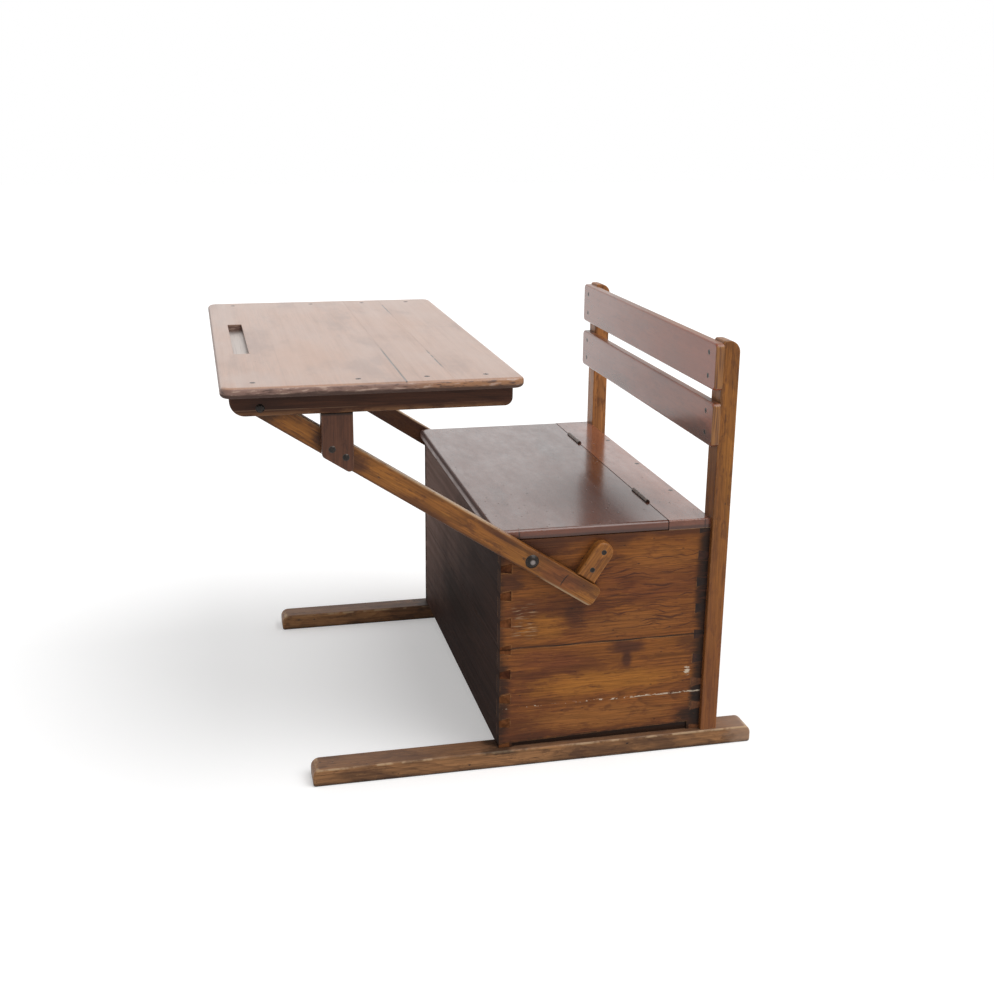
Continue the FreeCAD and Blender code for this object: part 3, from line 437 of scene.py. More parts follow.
LOOKS = {
    "desktop": dict(
        axes=GRAIN_X_FLAT, early=(0.375, 0.202, 0.126), late=(0.268, 0.132, 0.078), tone=(0.4, 0.206, 0.12),
        stain=(0.22, 0.112, 0.068), worn=(0.27, 0.14, 0.09), grime=(0.06, 0.03, 0.022),
        ring_show=0.4, streak_show=0.35, stain_show=0.35, fibre_show=0.1, fleck_show=0.25, nick_show=0.35,
        rough=0.33, ring=0.009, pith_depth=0.25, swirl=0.05, worn_show=0, bump=0.00012, ior=1.5,
        coat=0.56, coat_rough=0.3, smear=0.14, mottle_show=0.12,
    ),
    "rail": dict(
        axes=GRAIN_Y_UP, early=(0.054, 0.02, 0.011), late=(0.027, 0.01, 0.007), tone=(0.074, 0.028, 0.013),
        stain=(0.02, 0.009, 0.007), worn=(0.2, 0.095, 0.045), grime=(0.012, 0.008, 0.007), ior=1.22,
    ),
    "bracket": dict(
        axes=GRAIN_Z, early=(0.09, 0.033, 0.019), late=(0.046, 0.018, 0.012), tone=(0.11, 0.044, 0.022),
        stain=(0.034, 0.014, 0.011), worn=(0.21, 0.1, 0.05), grime=(0.014, 0.009, 0.007), ring=0.004,
        mottle_show=0.45,
    ),
    "end_board": dict(
        axes=GRAIN_X_UP, early=(0.026, 0.013, 0.01), late=(0.013, 0.007, 0.006), tone=(0.036, 0.018, 0.013),
        stain=(0.012, 0.007, 0.006), worn=(0.11, 0.055, 0.03), grime=(0.008, 0.005, 0.004),
        worn_show=0.3, rough=0.62, ior=1.08, nick_show=0.3,
    ),
    "seat": dict(
        axes=GRAIN_X_FLAT, early=(0.13, 0.043, 0.024), late=(0.085, 0.027, 0.015),
        tone=(0.115, 0.041, 0.026), stain=(0.055, 0.019, 0.012), worn=(0.19, 0.07, 0.04),
        grime=(0.018, 0.01, 0.008), ring_show=0.3, streak_show=0.25, fibre_show=0.08, fleck_show=0.1,
        nick_show=0.3, rough=0.18, ior=1.5, ring=0.008, pith_depth=0.2, bump=0.000025, coat=0.5,
        coat_rough=0.13, smear=0.09, mottle_show=0.3,
    ),
    "slat": dict(
        axes=GRAIN_X_UP, early=(0.275, 0.08, 0.04), late=(0.185, 0.05, 0.026), tone=(0.29, 0.092, 0.046),
        stain=(0.13, 0.038, 0.024), worn=(0.38, 0.22, 0.14), grime=(0.03, 0.013, 0.01), nick_show=0.12,
        ring_show=0.4, streak_show=0.4, fibre_show=0.08, fleck_show=0.25, rough=0.17, ior=1.42, ring=0.009,
        bump=0.00004, coat=0.15, coat_rough=0.12, smear=0.08, pith_depth=0.2, mottle_show=0.35,
    ),
    "box_side": dict(
        axes=GRAIN_Y_UP, early=(0.222, 0.074, 0.018), late=(0.05, 0.015, 0.006), tone=(0.262, 0.092, 0.018),
        stain=(0.078, 0.022, 0.01), worn=(0.36, 0.17, 0.06), grime=(0.018, 0.009, 0.007), ior=1.25,
        fleck_show=0.9, rough=0.4, stain_from=0.47, stain_show=0.6, ring=0.0046, swirl=0.05, mottle_show=0.4,
        reach=0.03, grime_show=0.95,
    ),
    "arm": dict(
        axes=GRAIN_ARM, early=(0.245, 0.09, 0.019), late=(0.085, 0.029, 0.009), tone=(0.3, 0.122, 0.024),
        stain=(0.085, 0.028, 0.011), worn=(0.46, 0.27, 0.13), grime=(0.02, 0.01, 0.007), ring=0.004,
        stain_from=0.48, worn_show=0.35, fleck_show=0.8, rough=0.34, mottle_show=0.6,
    ),
    "post": dict(
        axes=GRAIN_Z, early=(0.262, 0.096, 0.02), late=(0.105, 0.035, 0.01), tone=(0.31, 0.124, 0.022),
        stain=(0.095, 0.031, 0.012), worn=(0.4, 0.21, 0.09), grime=(0.02, 0.01, 0.007), ring=0.004,
        fleck_show=0.8, mottle_show=0.55,
    ),
    "runner": dict(
        axes=GRAIN_Y_UP, early=(0.275, 0.13, 0.052), late=(0.1, 0.041, 0.018), tone=(0.3, 0.148, 0.06),
        stain=(0.055, 0.024, 0.013), worn=(0.44, 0.29, 0.17), grime=(0.02, 0.011, 0.008), mottle_show=0.55,
        rough=0.45, stain_from=0.47, stain_show=0.65, worn_show=0.9, nick_show=0.9, fleck_show=0.8,
        edge=0.005, ring=0.004,
    ),
    "inside": dict(
        axes=GRAIN_X_FLAT, early=(0.42, 0.27, 0.14), late=(0.26, 0.145, 0.07), tone=(0.36, 0.235, 0.13),
        stain=(0.19, 0.115, 0.065), worn=(0.5, 0.34, 0.19), grime=(0.06, 0.035, 0.022), rough=0.6, ior=1.35,
    ),
}
LOOKS["back_board"] = dict(LOOKS["bracket"], axes=GRAIN_X_UP, rough=0.5)
LOOKS["strip"] = dict(
    LOOKS["seat"], early=(0.26, 0.094, 0.053), late=(0.175, 0.058, 0.033), tone=(0.235, 0.086, 0.05),
    stain=(0.105, 0.036, 0.022),
)
LOOKS["batten"] = dict(LOOKS["inside"], axes=GRAIN_Y_FLAT)
LOOKS["stop_block"] = dict(LOOKS["post"], axes=GRAIN_BLOCK, worn_show=0.5, early=(0.305, 0.115, 0.025))
# The far post: a lighter copy of the post's wood, painted light for a post that stands in shade.
LOOKS["far_post_lit"] = dict(LOOKS["post"], early=(0.4, 0.155, 0.045), tone=(0.43, 0.175, 0.048))

# Added roughness of bare timber and of a dull sawn end, and how an open joint lowers the surface.
BARE_ROUGH, SAWN_END_ROUGH, JOINT_RISE = 0.25, 0.5, -4
REBATE_TOP = 0.05


def bare_inside(wood, inside):
    """Unvarnished timber where inside is 1."""
    grain = wood.grain(along=3, across=90, shift=77, detail=3, roughness=0.55)
    wood.tint(wood.shaded("bare", grain.smooth(0.3, 0.7, to_low=0.72, to_high=1.12)), inside)


def board_joint(wood, share):
    """Dark, uneven line where the lower and the upper board meet."""
    slow = wood.noise(wood.x * 8, wood.y * 8, 5)
    line = wood.z.line(BOARD_JOINT, half=0.0011, soft=0.0009)
    line = line * slow.smooth(0.35, 0.6, to_low=share / 2, to_high=share)
    wood.tint("soot_and_shade", line)
    wood.height += line * JOINT_RISE


def far_side_marks(wood):
    board_joint(wood, share=0.9)
    box_side_marks(wood)


def box_side_marks(wood):
    """Bare inside, dark ends, and a darker rebate along the foot."""
    front_end = wood.y.below(FRONT_OUT + SKIN, SKIN / 2)
    back_end = wood.y.above(BACK_OUT - SKIN, SKIN / 2)
    wood.tint(LOOKS["end_board"]["early"], front_end * 0.9)
    wood.tint(LOOKS["bracket"]["early"], back_end * 0.8)
    recess = wood.out.within(SIDE_IN + SKIN * 2, SIDE_OUT - SKIN * 2, SKIN) * wood.z.below(REBATE_TOP, SKIN)
    wood.tint("soot_and_shade", recess * 0.9)
    inside = wood.out.below(SIDE_IN + SKIN, SKIN / 2)
    wood.rough = wood.rough + inside * BARE_ROUGH + front_end * SAWN_END_ROUGH
    bare_inside(wood, inside)


# Places of the marks on the box's near side, in metres, and how they lower the surface.
FOOT_DARK_EDGE, FOOT_SLOPE, FOOT_SOFT = BOX_FOOT + 0.009, 0.02, 0.004
REAR_DARK_EDGE, FRONT_DARK_EDGE, UNDER_LID_SHADE_EDGE = 0.322, -0.006, SEAT_UNDER - 0.009
OPEN_JOINT, PAINT_LINE = BOARD_JOINT + 0.001, 0.0995
FIGURED_Y, FIGURED_Z = (0.115, 0.345), (0.212, 0.35)
TOOLED_Y, TOOLED_Z = (0.01, 0.048), (0.222, 0.276)
SPLASH_Y, SPLASH_Z, SPLASH_SQUASH, SPLASH_SIZE, SPLASH_CORE = 0.309, 0.137, 1.3, 0.0065, 0.0045
TOOL_RISE, STROKE_RISE = -2, -0.8


def near_side_darkening(wood, outer, speck, slow):
    """Dark along the foot, the rear and the front, and umber under the lid: dirt with painted shade of the
    lid's overhang.
    """
    foot_edge = FOOT_DARK_EDGE + wood.y * FOOT_SLOPE + speck.wander(0.01)
    foot = (wood.z - foot_edge).smooth(FOOT_SOFT, -FOOT_SOFT)
    rear = (wood.y + wood.ragged.wander(0.03)).above(REAR_DARK_EDGE, 0.01)
    front = (wood.y + wood.ragged.wander(0.02)).below(FRONT_DARK_EDGE, 0.006)
    wood.tint("soot_and_shade", outer * foot * 0.8 | outer * rear * 0.9 | outer * front * 0.6)
    # Umber under the lid's overhang: dirt with painted shade of the lid.
    under_lid = (wood.z + wood.ragged.wander(0.02) + slow.wander(0.03)).above(UNDER_LID_SHADE_EDGE, 0.007)
    wood.tint("umber", outer * under_lid * 0.7)


def near_side_strokes(wood, outer):
    """1 in long, wavy strokes of the grain, strongest in the figured part of the upper board."""
    bends = wood.noise(wood.y * 17, wood.z * 26, 2)
    wavy = wood.z + bends.wander(0.026)
    strokes = wood.noise(wood.y * 13, wavy * 330, 12).smooth(0.55, 0.65)
    figured = wood.y.within(*FIGURED_Y, 0.03) * wood.z.within(*FIGURED_Z, 0.02)
    return outer * strokes * figured.smooth(0, 1, to_low=0.25, to_high=0.85)


def near_side_marks(wood):
    """Paint specks low on the near side, tool marks at its front, the dark foot and the open board joint."""
    outer = wood.x.above(SIDE_OUT - SKIN * 2, SKIN)
    speck = wood.noise(wood.y * 90, wood.z * 260, 4, detail=3, roughness=0.6)
    slow = wood.noise(wood.y * 9, 2, 5)
    level = wood.z + slow.wander(0.008)
    near_side_darkening(wood, outer, speck, slow)
    joint = outer * level.line(OPEN_JOINT, half=0.0012, soft=0.001) * slow.smooth(0.35, 0.55, to_low=0.55)
    wood.tint("soot_and_shade", joint)
    stroke = near_side_strokes(wood, outer)
    wood.tint("umber", stroke)
    tooth = wood.noise(wood.y * 34, wood.z * 340, 9)
    tooled = outer * (wood.y.within(*TOOLED_Y, 0.008) * wood.z.within(*TOOLED_Z, 0.01))
    wood.tint("umber", tooled * tooth.smooth(0.46, 0.38) * 0.7)
    tool = tooled * tooth.smooth(0.55, 0.66)
    wood.tint("pale", tool * 0.45)
    line = level.line(PAINT_LINE, half=0.0012, soft=0.001)
    paint = outer * line * (speck > wood.y.smooth(0.02, 0.3, to_low=0.62, to_high=0.5))
    away = wood.root((wood.y - SPLASH_Y) * SPLASH_SQUASH, wood.z - SPLASH_Z) + speck.wander(0.03)
    splash = outer * away.smooth(SPLASH_SIZE, SPLASH_CORE)
    wood.tint("pale_paint", (paint | splash) * 0.85)
    wood.height = wood.height + tool * TOOL_RISE + joint * JOINT_RISE + stroke * STROKE_RISE
    wood.rough += paint * 0.2
    box_side_marks(wood)


PALE_PINS_BELOW, PIN_OUTLINE = 0.135, 0.0022
HAZE_ACROSS, HAZE_UP, HAZE_WANDER = -1.35, 1.8, 0.35


def end_board_marks(pin_tint, joint_share):
    """Bare inner face, hazy front, and the ends of the dovetails' pins in a tint with dark outlines."""

    def marks(wood):
        pin = wood.out.above(SIDE_OUT - SKIN, SKIN / 2)
        pin_tone = wood.mix(wood.cloud.smooth(0.36, 0.52), "umber", pin_tint)
        pin_tone = pin_tone.tint("low_pin", wood.z.below(PALE_PINS_BELOW, 0.003))
        shade = wood.ragged.smooth(0.3, 0.7, to_low=0.5, to_high=1.3)
        wood.tint(wood.shaded(pin_tone, shade), pin)
        wood.tint("soot_and_shade", pin * wood.edges(PIN_OUTLINE) * 0.65)
        inner = wood.y.within(FRONT_IN - SKIN, BACK_IN + SKIN, SKIN / 2) * wood.out.below(SIDE_IN, SKIN)
        front = wood.y.below(FRONT_OUT + SKIN, SKIN / 2)
        smears = wood.noise(wood.x * 15, 3, wood.z * 8, detail=4, roughness=0.6)
        hazy = wood.x * HAZE_ACROSS + wood.z * HAZE_UP
        hazy = hazy + smears.wander(HAZE_WANDER) + wood.cloud.wander(HAZE_WANDER)
        grain = wood.grain(along=2.2, across=75, shift=15, detail=4, roughness=0.6)
        haze = wood.mix(grain.smooth(0.4, 0.64), "front_haze", "front_grain")
        wood.tint(haze, front * hazy.smooth(0.26, 0.86))
        board_joint(wood, joint_share)
        scuffed = wood.patch(along=0, across=0.155, long=0.16, wide=0.055)
        wood.tint("soot_and_shade", front * scuffed * grain.smooth(0.38, 0.6, to_low=0.4, to_high=0.75))
        bare_inside(wood, inner)
        wood.rough += inner * BARE_ROUGH

    return marks


# Where the lid's rim, lip and foot start below its top, and how far its nose reaches back, in metres.
LID_RIM, LID_LIP, LID_FOOT, LID_NOSE = 0.0016, 0.0056, 0.01, 0.004
# The dull place on the lid: middle and half sizes.
DULL_X, DULL_Y, DULL_LONG, DULL_WIDE = 0.2, 0.19, 0.2, 0.12


def seat_marks(wood):
    """Red-brown edges, painted shade on the lower edge and the front arris, a polished lip lightened a
    little as a painted highlight, scratches, specks and a bare underside.
    """
    rim = wood.z.below(SEAT_TOP - LID_RIM, 0.0009)
    wood.tint("lid_rim", rim * wood.ragged.smooth(0.35, 0.6, to_low=0.55))
    low = wood.z.below(SEAT_TOP - LID_FOOT, 0.002) * 0.7
    front = wood.y.below(LID_FRONT + LID_NOSE, 0.003)
    lip = front * wood.z.below(SEAT_TOP - LID_LIP, 0.0024)
    lip = lip * wood.ragged.smooth(0.3, 0.7, to_low=0.55, to_high=0.85)
    arris = front - lip
    # Painted shade on the lower part of the edges and on the front arris.
    wood.tint("lid_edge_shade", low - lip | arris * 0.85)
    # Painted highlight: the polished lip lightened a little.
    wood.tint("lid_lip_highlight", lip * 0.6)
    specks = wood.dots(wood.vector(wood.x * 110, wood.y * 150, 2), size=0.24, threshold=0.78)
    wood.tint("lid_speck", specks * 0.8)
    coat = wood.look.coat
    polish = wood.noise(wood.x * 9, wood.y * 15, 4, detail=4, roughness=0.6)
    polish = polish.smooth(0.32, 0.68, to_low=coat * 0.75, to_high=coat * 1.25)
    hazy = wood.noise(wood.x * 26, wood.y * 60, 8, detail=4, roughness=0.65)
    polish = polish * hazy.smooth(0.35, 0.65, to_low=0.8, to_high=1.15)
    dull = wood.root((wood.x - DULL_X) / DULL_LONG, (wood.y - DULL_Y) / DULL_WIDE)
    dull = (dull + wood.cloud.wander(0.7) + wood.streak.wander(0.4)).smooth(1.3, 0.1)
    wood.tint("lid_dull", dull * 0.65)
    wood.set(Coat_Weight=(1 - (arris | rim | dull | specks)) * polish)
    scratch = wood.slanted(slope=0.8, along=5, aside=240, shift=6).smooth(0.74, 0.8)
    wood.tint("lid_scratch", scratch * 0.2)
    under = wood.z.below(SEAT_UNDER + SKIN, SKIN / 2)
    wood.rough = wood.rough + under * 0.35 + scratch * 0.1 + arris * 0.6 + lip * 0.16 + specks * 0.3
    bare_inside(wood, under)


# Depths below the desktop's top, in metres: the groove's lip, floor and end, and the bullnose and its foot.
GROOVE_LIP, GROOVE_FLOOR, GROOVE_END, RIM_DEPTH, RIM_FOOT = 0.0008, 0.0076, 0.012, 0.0018, 0.0095
# How far the painted shade reaches at the groove's far end, and where the bullnose turns warmer towards the
# sitter.
GROOVE_DARK, RIM_WARMER = 0.045, (-0.2, -0.09)
# Patches on the top: place along and across the grain, half sizes.
WARM_PATCH, FAINT_WARM_PATCH = (0.17, -0.285, 0.15, 0.065), (-0.1, -0.1, 0.14, 0.06)
COOL_PATCH, REAR_COOL_PATCH = (-0.25, -0.4, 0.2, 0.03), (0.34, -0.38, 0.07, 0.05)
# Open parts of the seams along X, and the long scratch, in metres.
FIRST_OPENING, SECOND_OPEN_NEAR, SECOND_OPEN_FAR = (0.1, 0.18), (0.16, 0.3), (-0.34, -0.22)
SCRATCH_X, SCRATCH_Y, SCRATCH_SLOPE = -0.076, (-0.077, -0.005), 0.33
SEAM_RISE, SCRATCH_RISE = -6, -1.5


def groove_marks(wood):
    """Rubbed pale floor of the pencil groove, with dark walls and painted shade at its far end."""
    depth = DESK_TOP - wood.z
    inside = wood.x.within(*GROOVE_X, SKIN) * wood.y.within(*GROOVE_Y, SKIN)
    inside = inside * depth.above(GROOVE_LIP, SKIN) * depth.below(GROOVE_END, 0.001)
    # Painted shade of the far wall on the groove's floor.
    far_end = (wood.x + wood.ragged.wander(0.06)).below(GROOVE_X[0] + GROOVE_DARK, 0.03)
    lines = wood.noise(wood.x * 9, wood.y * 420, 3).smooth(0.52, 0.66, to_high=0.6)
    pale = wood.mix(far_end, "groove_floor", "groove_end_shade").tint("groove_line", lines)
    wood.tint(wood.mix(depth.above(GROOVE_FLOOR, SKIN), "groove_wall", pale), inside)
    return inside


def desktop_top(wood, top, wear):
    """Haze, wear, warm and cool patches and fine lines on the varnish."""
    haze = wood.noise(wood.x * 4, wood.y * 7, 3, detail=4, roughness=0.6)
    wood.tint("desk_haze", top * haze.smooth(0.42, 0.62, to_high=0.7))
    wood.tint("desk_wear", top * wear.smooth(0.5, 0.68, to_high=0.75))
    warm = wood.patch(*WARM_PATCH) | wood.patch(*FAINT_WARM_PATCH) * 0.6
    wood.tint("desk_warm", top * warm * 0.6)
    cool = wood.patch(*COOL_PATCH) | wood.patch(*REAR_COOL_PATCH)
    wood.tint("desk_cool", top * cool * 0.6)
    lines = wood.noise(wood.x * 1.6, wood.y * 230, 7, detail=3, roughness=0.6)
    wood.tint("desk_line", top * lines.smooth(0.6, 0.72, to_high=0.28))


def desktop_rim(wood):
    """The bullnose's chipped varnish, and its dark foot."""
    chips = wood.noise(wood.x * 70, wood.y * 40, wood.z * 260, detail=4, roughness=0.65)
    tone = wood.mix(wood.y.smooth(*RIM_WARMER), "rim_front", "rim_rear")
    tone = tone.tint("rim_light_chip", chips.smooth(0.55, 0.64, to_high=0.85))
    tone = tone.tint("rim_dark_chip", chips.smooth(0.46, 0.38, to_high=0.85))
    foot = (wood.z + chips.wander(0.004)).below(DESK_TOP - RIM_FOOT, 0.002)
    return foot, tone.tint("rim_foot", foot * 0.9)


def desktop_seams(wood, first, second):
    """1 where the seams are open, and a little along the rest of them."""
    breaks = wood.noise(wood.x * 34, 8, 2, detail=3).smooth(0.34, 0.56)
    first_open = first.below(0.0012, 0.0008) * wood.x.smooth(*FIRST_OPENING)
    openings = wood.x.within(*SECOND_OPEN_NEAR, 0.02) | wood.x.within(*SECOND_OPEN_FAR, 0.03)
    second_open = second.below(0.0011, 0.0008) * openings * breaks
    faint = (first.below(0.0008, 0.0007) | second.below(0.0008, 0.0007)) * 0.12
    return first_open | second_open | faint


def desktop_scratches(wood):
    """1 in fine slanting scratches and in one long scratch across the grain."""
    fine = wood.slanted(slope=0.55, along=260, aside=7, shift=3).smooth(0.69, 0.74)
    aside = abs(wood.x - SCRATCH_X + (wood.y - SCRATCH_Y[0]) * -SCRATCH_SLOPE)
    long = wood.y.within(*SCRATCH_Y, 0.006) * aside.below(0.0016, 0.0012)
    return fine * 0.4 | long * 0.5


def desktop_underside(wood, wear, first, second):
    """Sawn timber with stains and the lines of the seams."""
    sawn = wood.noise(wood.x * 3, wood.y * 130, 13, detail=4, roughness=0.6)
    tone = wood.mix(sawn.smooth(0.38, 0.62), "sawn_light", "sawn_dark")
    tone = tone.tint("sawn_stain", wear.smooth(0.46, 0.64, to_high=0.65))
    return tone.tint("crack", first.below(0.001, 0.0007) | second.below(0.001, 0.0007))


def desktop_marks(wood):
    """Dark bullnose, orange-brown towards the sitter, open seams, scratches and a dull underside."""
    top = wood.z.above(DESK_TOP - 0.001, SKIN)
    wear = wood.noise(wood.x * 5, wood.y * 13, 11, detail=4, roughness=0.62)
    desktop_top(wood, top, wear)
    inside = groove_marks(wood)
    rim = wood.z.below(DESK_TOP - RIM_DEPTH, 0.0012) * (1 - inside)
    foot, edge_tone = desktop_rim(wood)
    wood.tint(edge_tone, rim)
    wood.set(Coat_Weight=(1 - rim) * wood.look.coat)
    level = wood.y + wood.noise(wood.x * 25, 1, 2).wander(0.0012)
    gaps = abs(level - FIRST_SEAM), abs(level - SECOND_SEAM)
    seam = top * desktop_seams(wood, *gaps)
    wood.tint("crack", seam)
    scratch = top * desktop_scratches(wood)
    wood.tint("desk_scratch", scratch)
    under = wood.z.below(DESK_UNDER + SKIN, SKIN / 2)
    wood.tint(desktop_underside(wood, wear, *gaps), under)
    wood.rough = wood.rough + under * BARE_ROUGH + rim * 0.12 + foot * rim * 0.4
    wood.height = wood.height + seam * SEAM_RISE + scratch * SCRATCH_RISE


# Heights from the rail's lower edge, in metres.
RAIL_RUBBED, RAIL_LINE, RAIL_CONTACT = 0.0055, 0.0085, -0.0035


def rail_marks(wood):
    """Lower edge lightened by wear and a painted highlight, with a fine light line above it."""
    low = wood.z.below(RAIL_BOTTOM + RAIL_RUBBED, 0.0035) * wood.ragged.smooth(0.34, 0.56)
    thin = wood.z.line(RAIL_BOTTOM + RAIL_LINE, half=0.0006, soft=0.0006) * wood.cloud.smooth(0.45, 0.6)
    # Wear with a painted highlight along the lower edge.
    wood.tint("rail_wear_and_highlight", low * 0.8)
    wood.tint("rail_line", thin * 0.5)


def bracket_marks(wood):
    """Painted contact shade: a dark line where the rail rests."""
    contact_shade = wood.z.above(RAIL_BOTTOM + RAIL_CONTACT, 0.002)
    # Painted shade where the rail rests on the bracket.
    wood.tint("soot_and_shade", contact_shade * 0.9)


# Places on an arm from its pivot, in metres: along it towards the desktop, and across it.
TIP_END, HIGHLIGHT_ALONG, CRACK_AT = -0.035, (0.02, 0.12), -0.062
LOWER_EDGE, UPPER_EDGE, CRACK_REACH = (0.0125, 0.0165), (-0.0138, -0.0168), (0.012, 0.008)
INNER_DEPTH, CRACK_RISE = 0.0012, -3


def arm_marks(wood):
    """Dark inner face and dark lower edge as painted shade, a painted highlight on the upper edge, a pale
    tip from wear and a short crack near the tail.
    """
    inner = wood.out.below(ARM_INNER + INNER_DEPTH, 0.0008)
    # Painted shade: the inner face, which stands in the desktop's shadow, darkened.
    wood.tint(LOOKS["bracket"]["late"], inner * 0.85)
    along = wood.along - ARM_START
    across = wood.across - ARM_MIDDLE
    lower = across.smooth(*LOWER_EDGE)
    tip = lower * (along + wood.ragged.wander(0.09)).below(TIP_END, 0.03)
    upper = across.smooth(*UPPER_EDGE) * wood.ragged.smooth(0.3, 0.5) * along.smooth(*HIGHLIGHT_ALONG)
    # Painted shade along the lower edge.
    wood.tint("umber", lower * 0.55)
    # The tip is pale from wear; the upper edge is pale as a painted highlight.
    wood.tint("pale", tip * 0.8 | upper * 0.7)
    bend = wood.noise(across * 60, 1, 4).wander(0.01)
    crack = abs(along - CRACK_AT + bend).below(0.0009, 0.0007) * abs(across).smooth(*CRACK_REACH)
    wood.tint("soot_and_shade", crack * 0.8)
    wood.height += crack * CRACK_RISE


POST_LIGHT_ABOVE, POST_DARK_BELOW = 0.5, 0.15


def post_marks(wood):
    """Darker towards the foot."""
    low = (wood.z + wood.cloud.wander(0.2)).smooth(POST_LIGHT_ABOVE, POST_DARK_BELOW, to_high=0.45)
    wood.tint("russet", low)


# Spans along X over which the slats' polish and redness change, and the height where the redness starts.
POLISH_FADE, REDNESS_FADE, REDNESS_FROM = (-0.34, 0.24), (-0.05, 0.3), SLAT_FOOT + 0.085
POLISH_MOST, END_DEPTH = 2.2, 0.0022


def slat_marks(wood):
    """Golden end grain with dark lines, a duller, darker brown on the rear faces and, as painted shade, on
    the tops, and polish that fades towards one end.
    """
    polish = wood.noise(wood.x * 7, 3, wood.z * 26, detail=4, roughness=0.6)
    fade = wood.x + polish.wander(0.45)
    wood.set(Coat_Weight=fade.smooth(*POLISH_FADE, to_low=wood.look.coat * POLISH_MOST, to_high=0))
    redder = fade.smooth(*REDNESS_FADE, to_high=0.5) * wood.z.above(REDNESS_FROM, 0.02)
    wood.tint("slat_red", redder)
    # Painted shade: faces turned up and to the rear, towards the key light, get a darker brown; the rear
    # faces are also rougher.
    top_and_rear = wood.dot(wood.face_normal, Y_AXIS + Z_AXIS).above(0.7, 0.2)
    back_tone = wood.mix(wood.tone.smooth(0.35, 0.65), "slat_back_dark", "slat_back_light")
    back_tone = back_tone.tint("slat_back_streak", wood.streak.smooth(0.44, 0.64, to_high=0.8))
    wood.tint(back_tone, top_and_rear * 0.8)
    lines = wood.noise(1, wood.y * 480, wood.z * 14)
    grain = wood.mix(lines.smooth(0.42, 0.66), "slat_end_light", "slat_end_dark")
    wood.tint(grain, wood.out.above(SLAT_END - END_DEPTH, 0.001))
    wood.rough += top_and_rear * 0.2


# Places on a runner, in metres: its wear-lightened tail, its top and arris, its foot and the dark band
# beside the box.
TAIL_FROM, TOP_FROM, FOOT_TO = RUNNER_TAIL - 0.035, RUNNER_TOP - 0.0012, 0.004
ARRIS = (RUNNER_TOP - 0.0036, RUNNER_TOP - 0.0006)
BESIDE_BOX_Y, BESIDE_BOX_FROM = (FRONT_OUT - 0.02, FRONT_OUT + 0.03), RUNNER_TOP - 0.007


def runner_marks(wood):
    """Pale tail behind the posts, lightened by wear, a greyer top, an upper arris lightened by wear and a
    painted highlight, a dark foot and a dark band beside the box.
    """
    wood.tint("runner_tail", (wood.y + wood.ragged.wander(0.06)).above(TAIL_FROM, 0.02) * 0.6)
    wood.tint("runner_top", wood.z.above(TOP_FROM, 0.0008) * 0.4)
    worn_and_lit = wood.grain(along=30, across=20, shift=95, detail=3, roughness=0.6)
    # Upper arris: wear with a painted highlight.
    arris = wood.z.within(*ARRIS, 0.0006) * worn_and_lit.smooth(0.48, 0.6)
    wood.tint("pale", arris * 0.65)
    foot = (wood.z + wood.ragged.wander(0.016)).below(FOOT_TO, 0.004)
    beside = (wood.y + wood.ragged.wander(0.09)).within(*BESIDE_BOX_Y, 0.012)
    beside = beside * (wood.z + wood.ragged.wander(0.03)).above(BESIDE_BOX_FROM, 0.004)
    wood.tint("soot_and_shade", (foot | beside) * 0.7)


# Cycles per metre of the iron's mottling and rust, its bump depth and the step between two seeds.
IRON_COARSE, IRON_FINE, IRON_BUMP = 160, 900, 0.0002
IRON_STEP_X, IRON_STEP_Y, IRON_STEP_Z = 1.7, 0.9, 0.4


def iron(name, seed, dark, light, rust, gloss, worn_and_lit=0):
    """Blackened or browned iron: dark and light mottling, specks of rust, bright edges, dirt with painted
    shade in crevices, and painted highlights on crowns.
    """
    paint = Paint(name)
    step = (seed * IRON_STEP_X, seed * IRON_STEP_Y, seed * IRON_STEP_Z)
    place = paint.fill(paint.add("ShaderNodeVectorMath", operation="ADD"), 0, paint.place, step)
    coarse = paint.texture(place, detail=4, roughness=0.6, scale=IRON_COARSE)
    fine = paint.texture(place, detail=3, roughness=0.6, scale=IRON_FINE)
    colour = paint.mix(coarse.smooth(0.42, 0.62), dark, light)
    colour = colour.tint(rust, fine.smooth(0.58, 0.7, to_high=0.6))
    colour = colour.tint("iron_edge", paint.edges(0.0012) * 0.35)
    # Painted shade with dirt in the iron's crevices.
    colour = colour.tint("iron_dirt_and_shade", paint.crevice_shade(0.006) * 0.7)
    # Painted highlight: crowns that face along X lightened.
    if worn_and_lit:
        facing = abs(paint.dot(paint.normal, X_AXIS))
        colour = colour.tint("iron_crown_highlight", facing.smooth(0.93, 0.997, to_high=worn_and_lit))
    paint.set(Base_Color=colour, Metallic=gloss, IOR=1.35, Roughness=0.27 + coarse.wander(0.4))
    paint.bump(coarse + fine * 0.6, IRON_BUMP)
    return paint.material


# Spots on an arm, measured from its pivot.
ARM_SPOTS = tuple(
    (tint, share, ARM_START + along, ARM_MIDDLE + aside, long, wide)
    for tint, share, along, aside, long, wide in (
        ("amber", 0.5, 0.425, 0.002, 0.04, 0.014),
        ("umber", 0.75, 0.318, 0.006, 0.02, 0.014),
        ("soot_and_shade", 0.7, 0.382, -0.004, 0.016, 0.016),
        ("umber", 0.6, 0.2, 0.012, 0.06, 0.007),
        ("amber", 0.45, 0.26, -0.003, 0.05, 0.01),
        ("umber", 0.6, 0.06, -0.01, 0.05, 0.007),
        ("russet", 0.7, -0.055, 0, 0.055, 0.02),
        ("umber", 0.6, -0.095, -0.008, 0.03, 0.01),
        ("soot_and_shade", 0.7, 0.47, 0, 0.02, 0.02),
    )
)
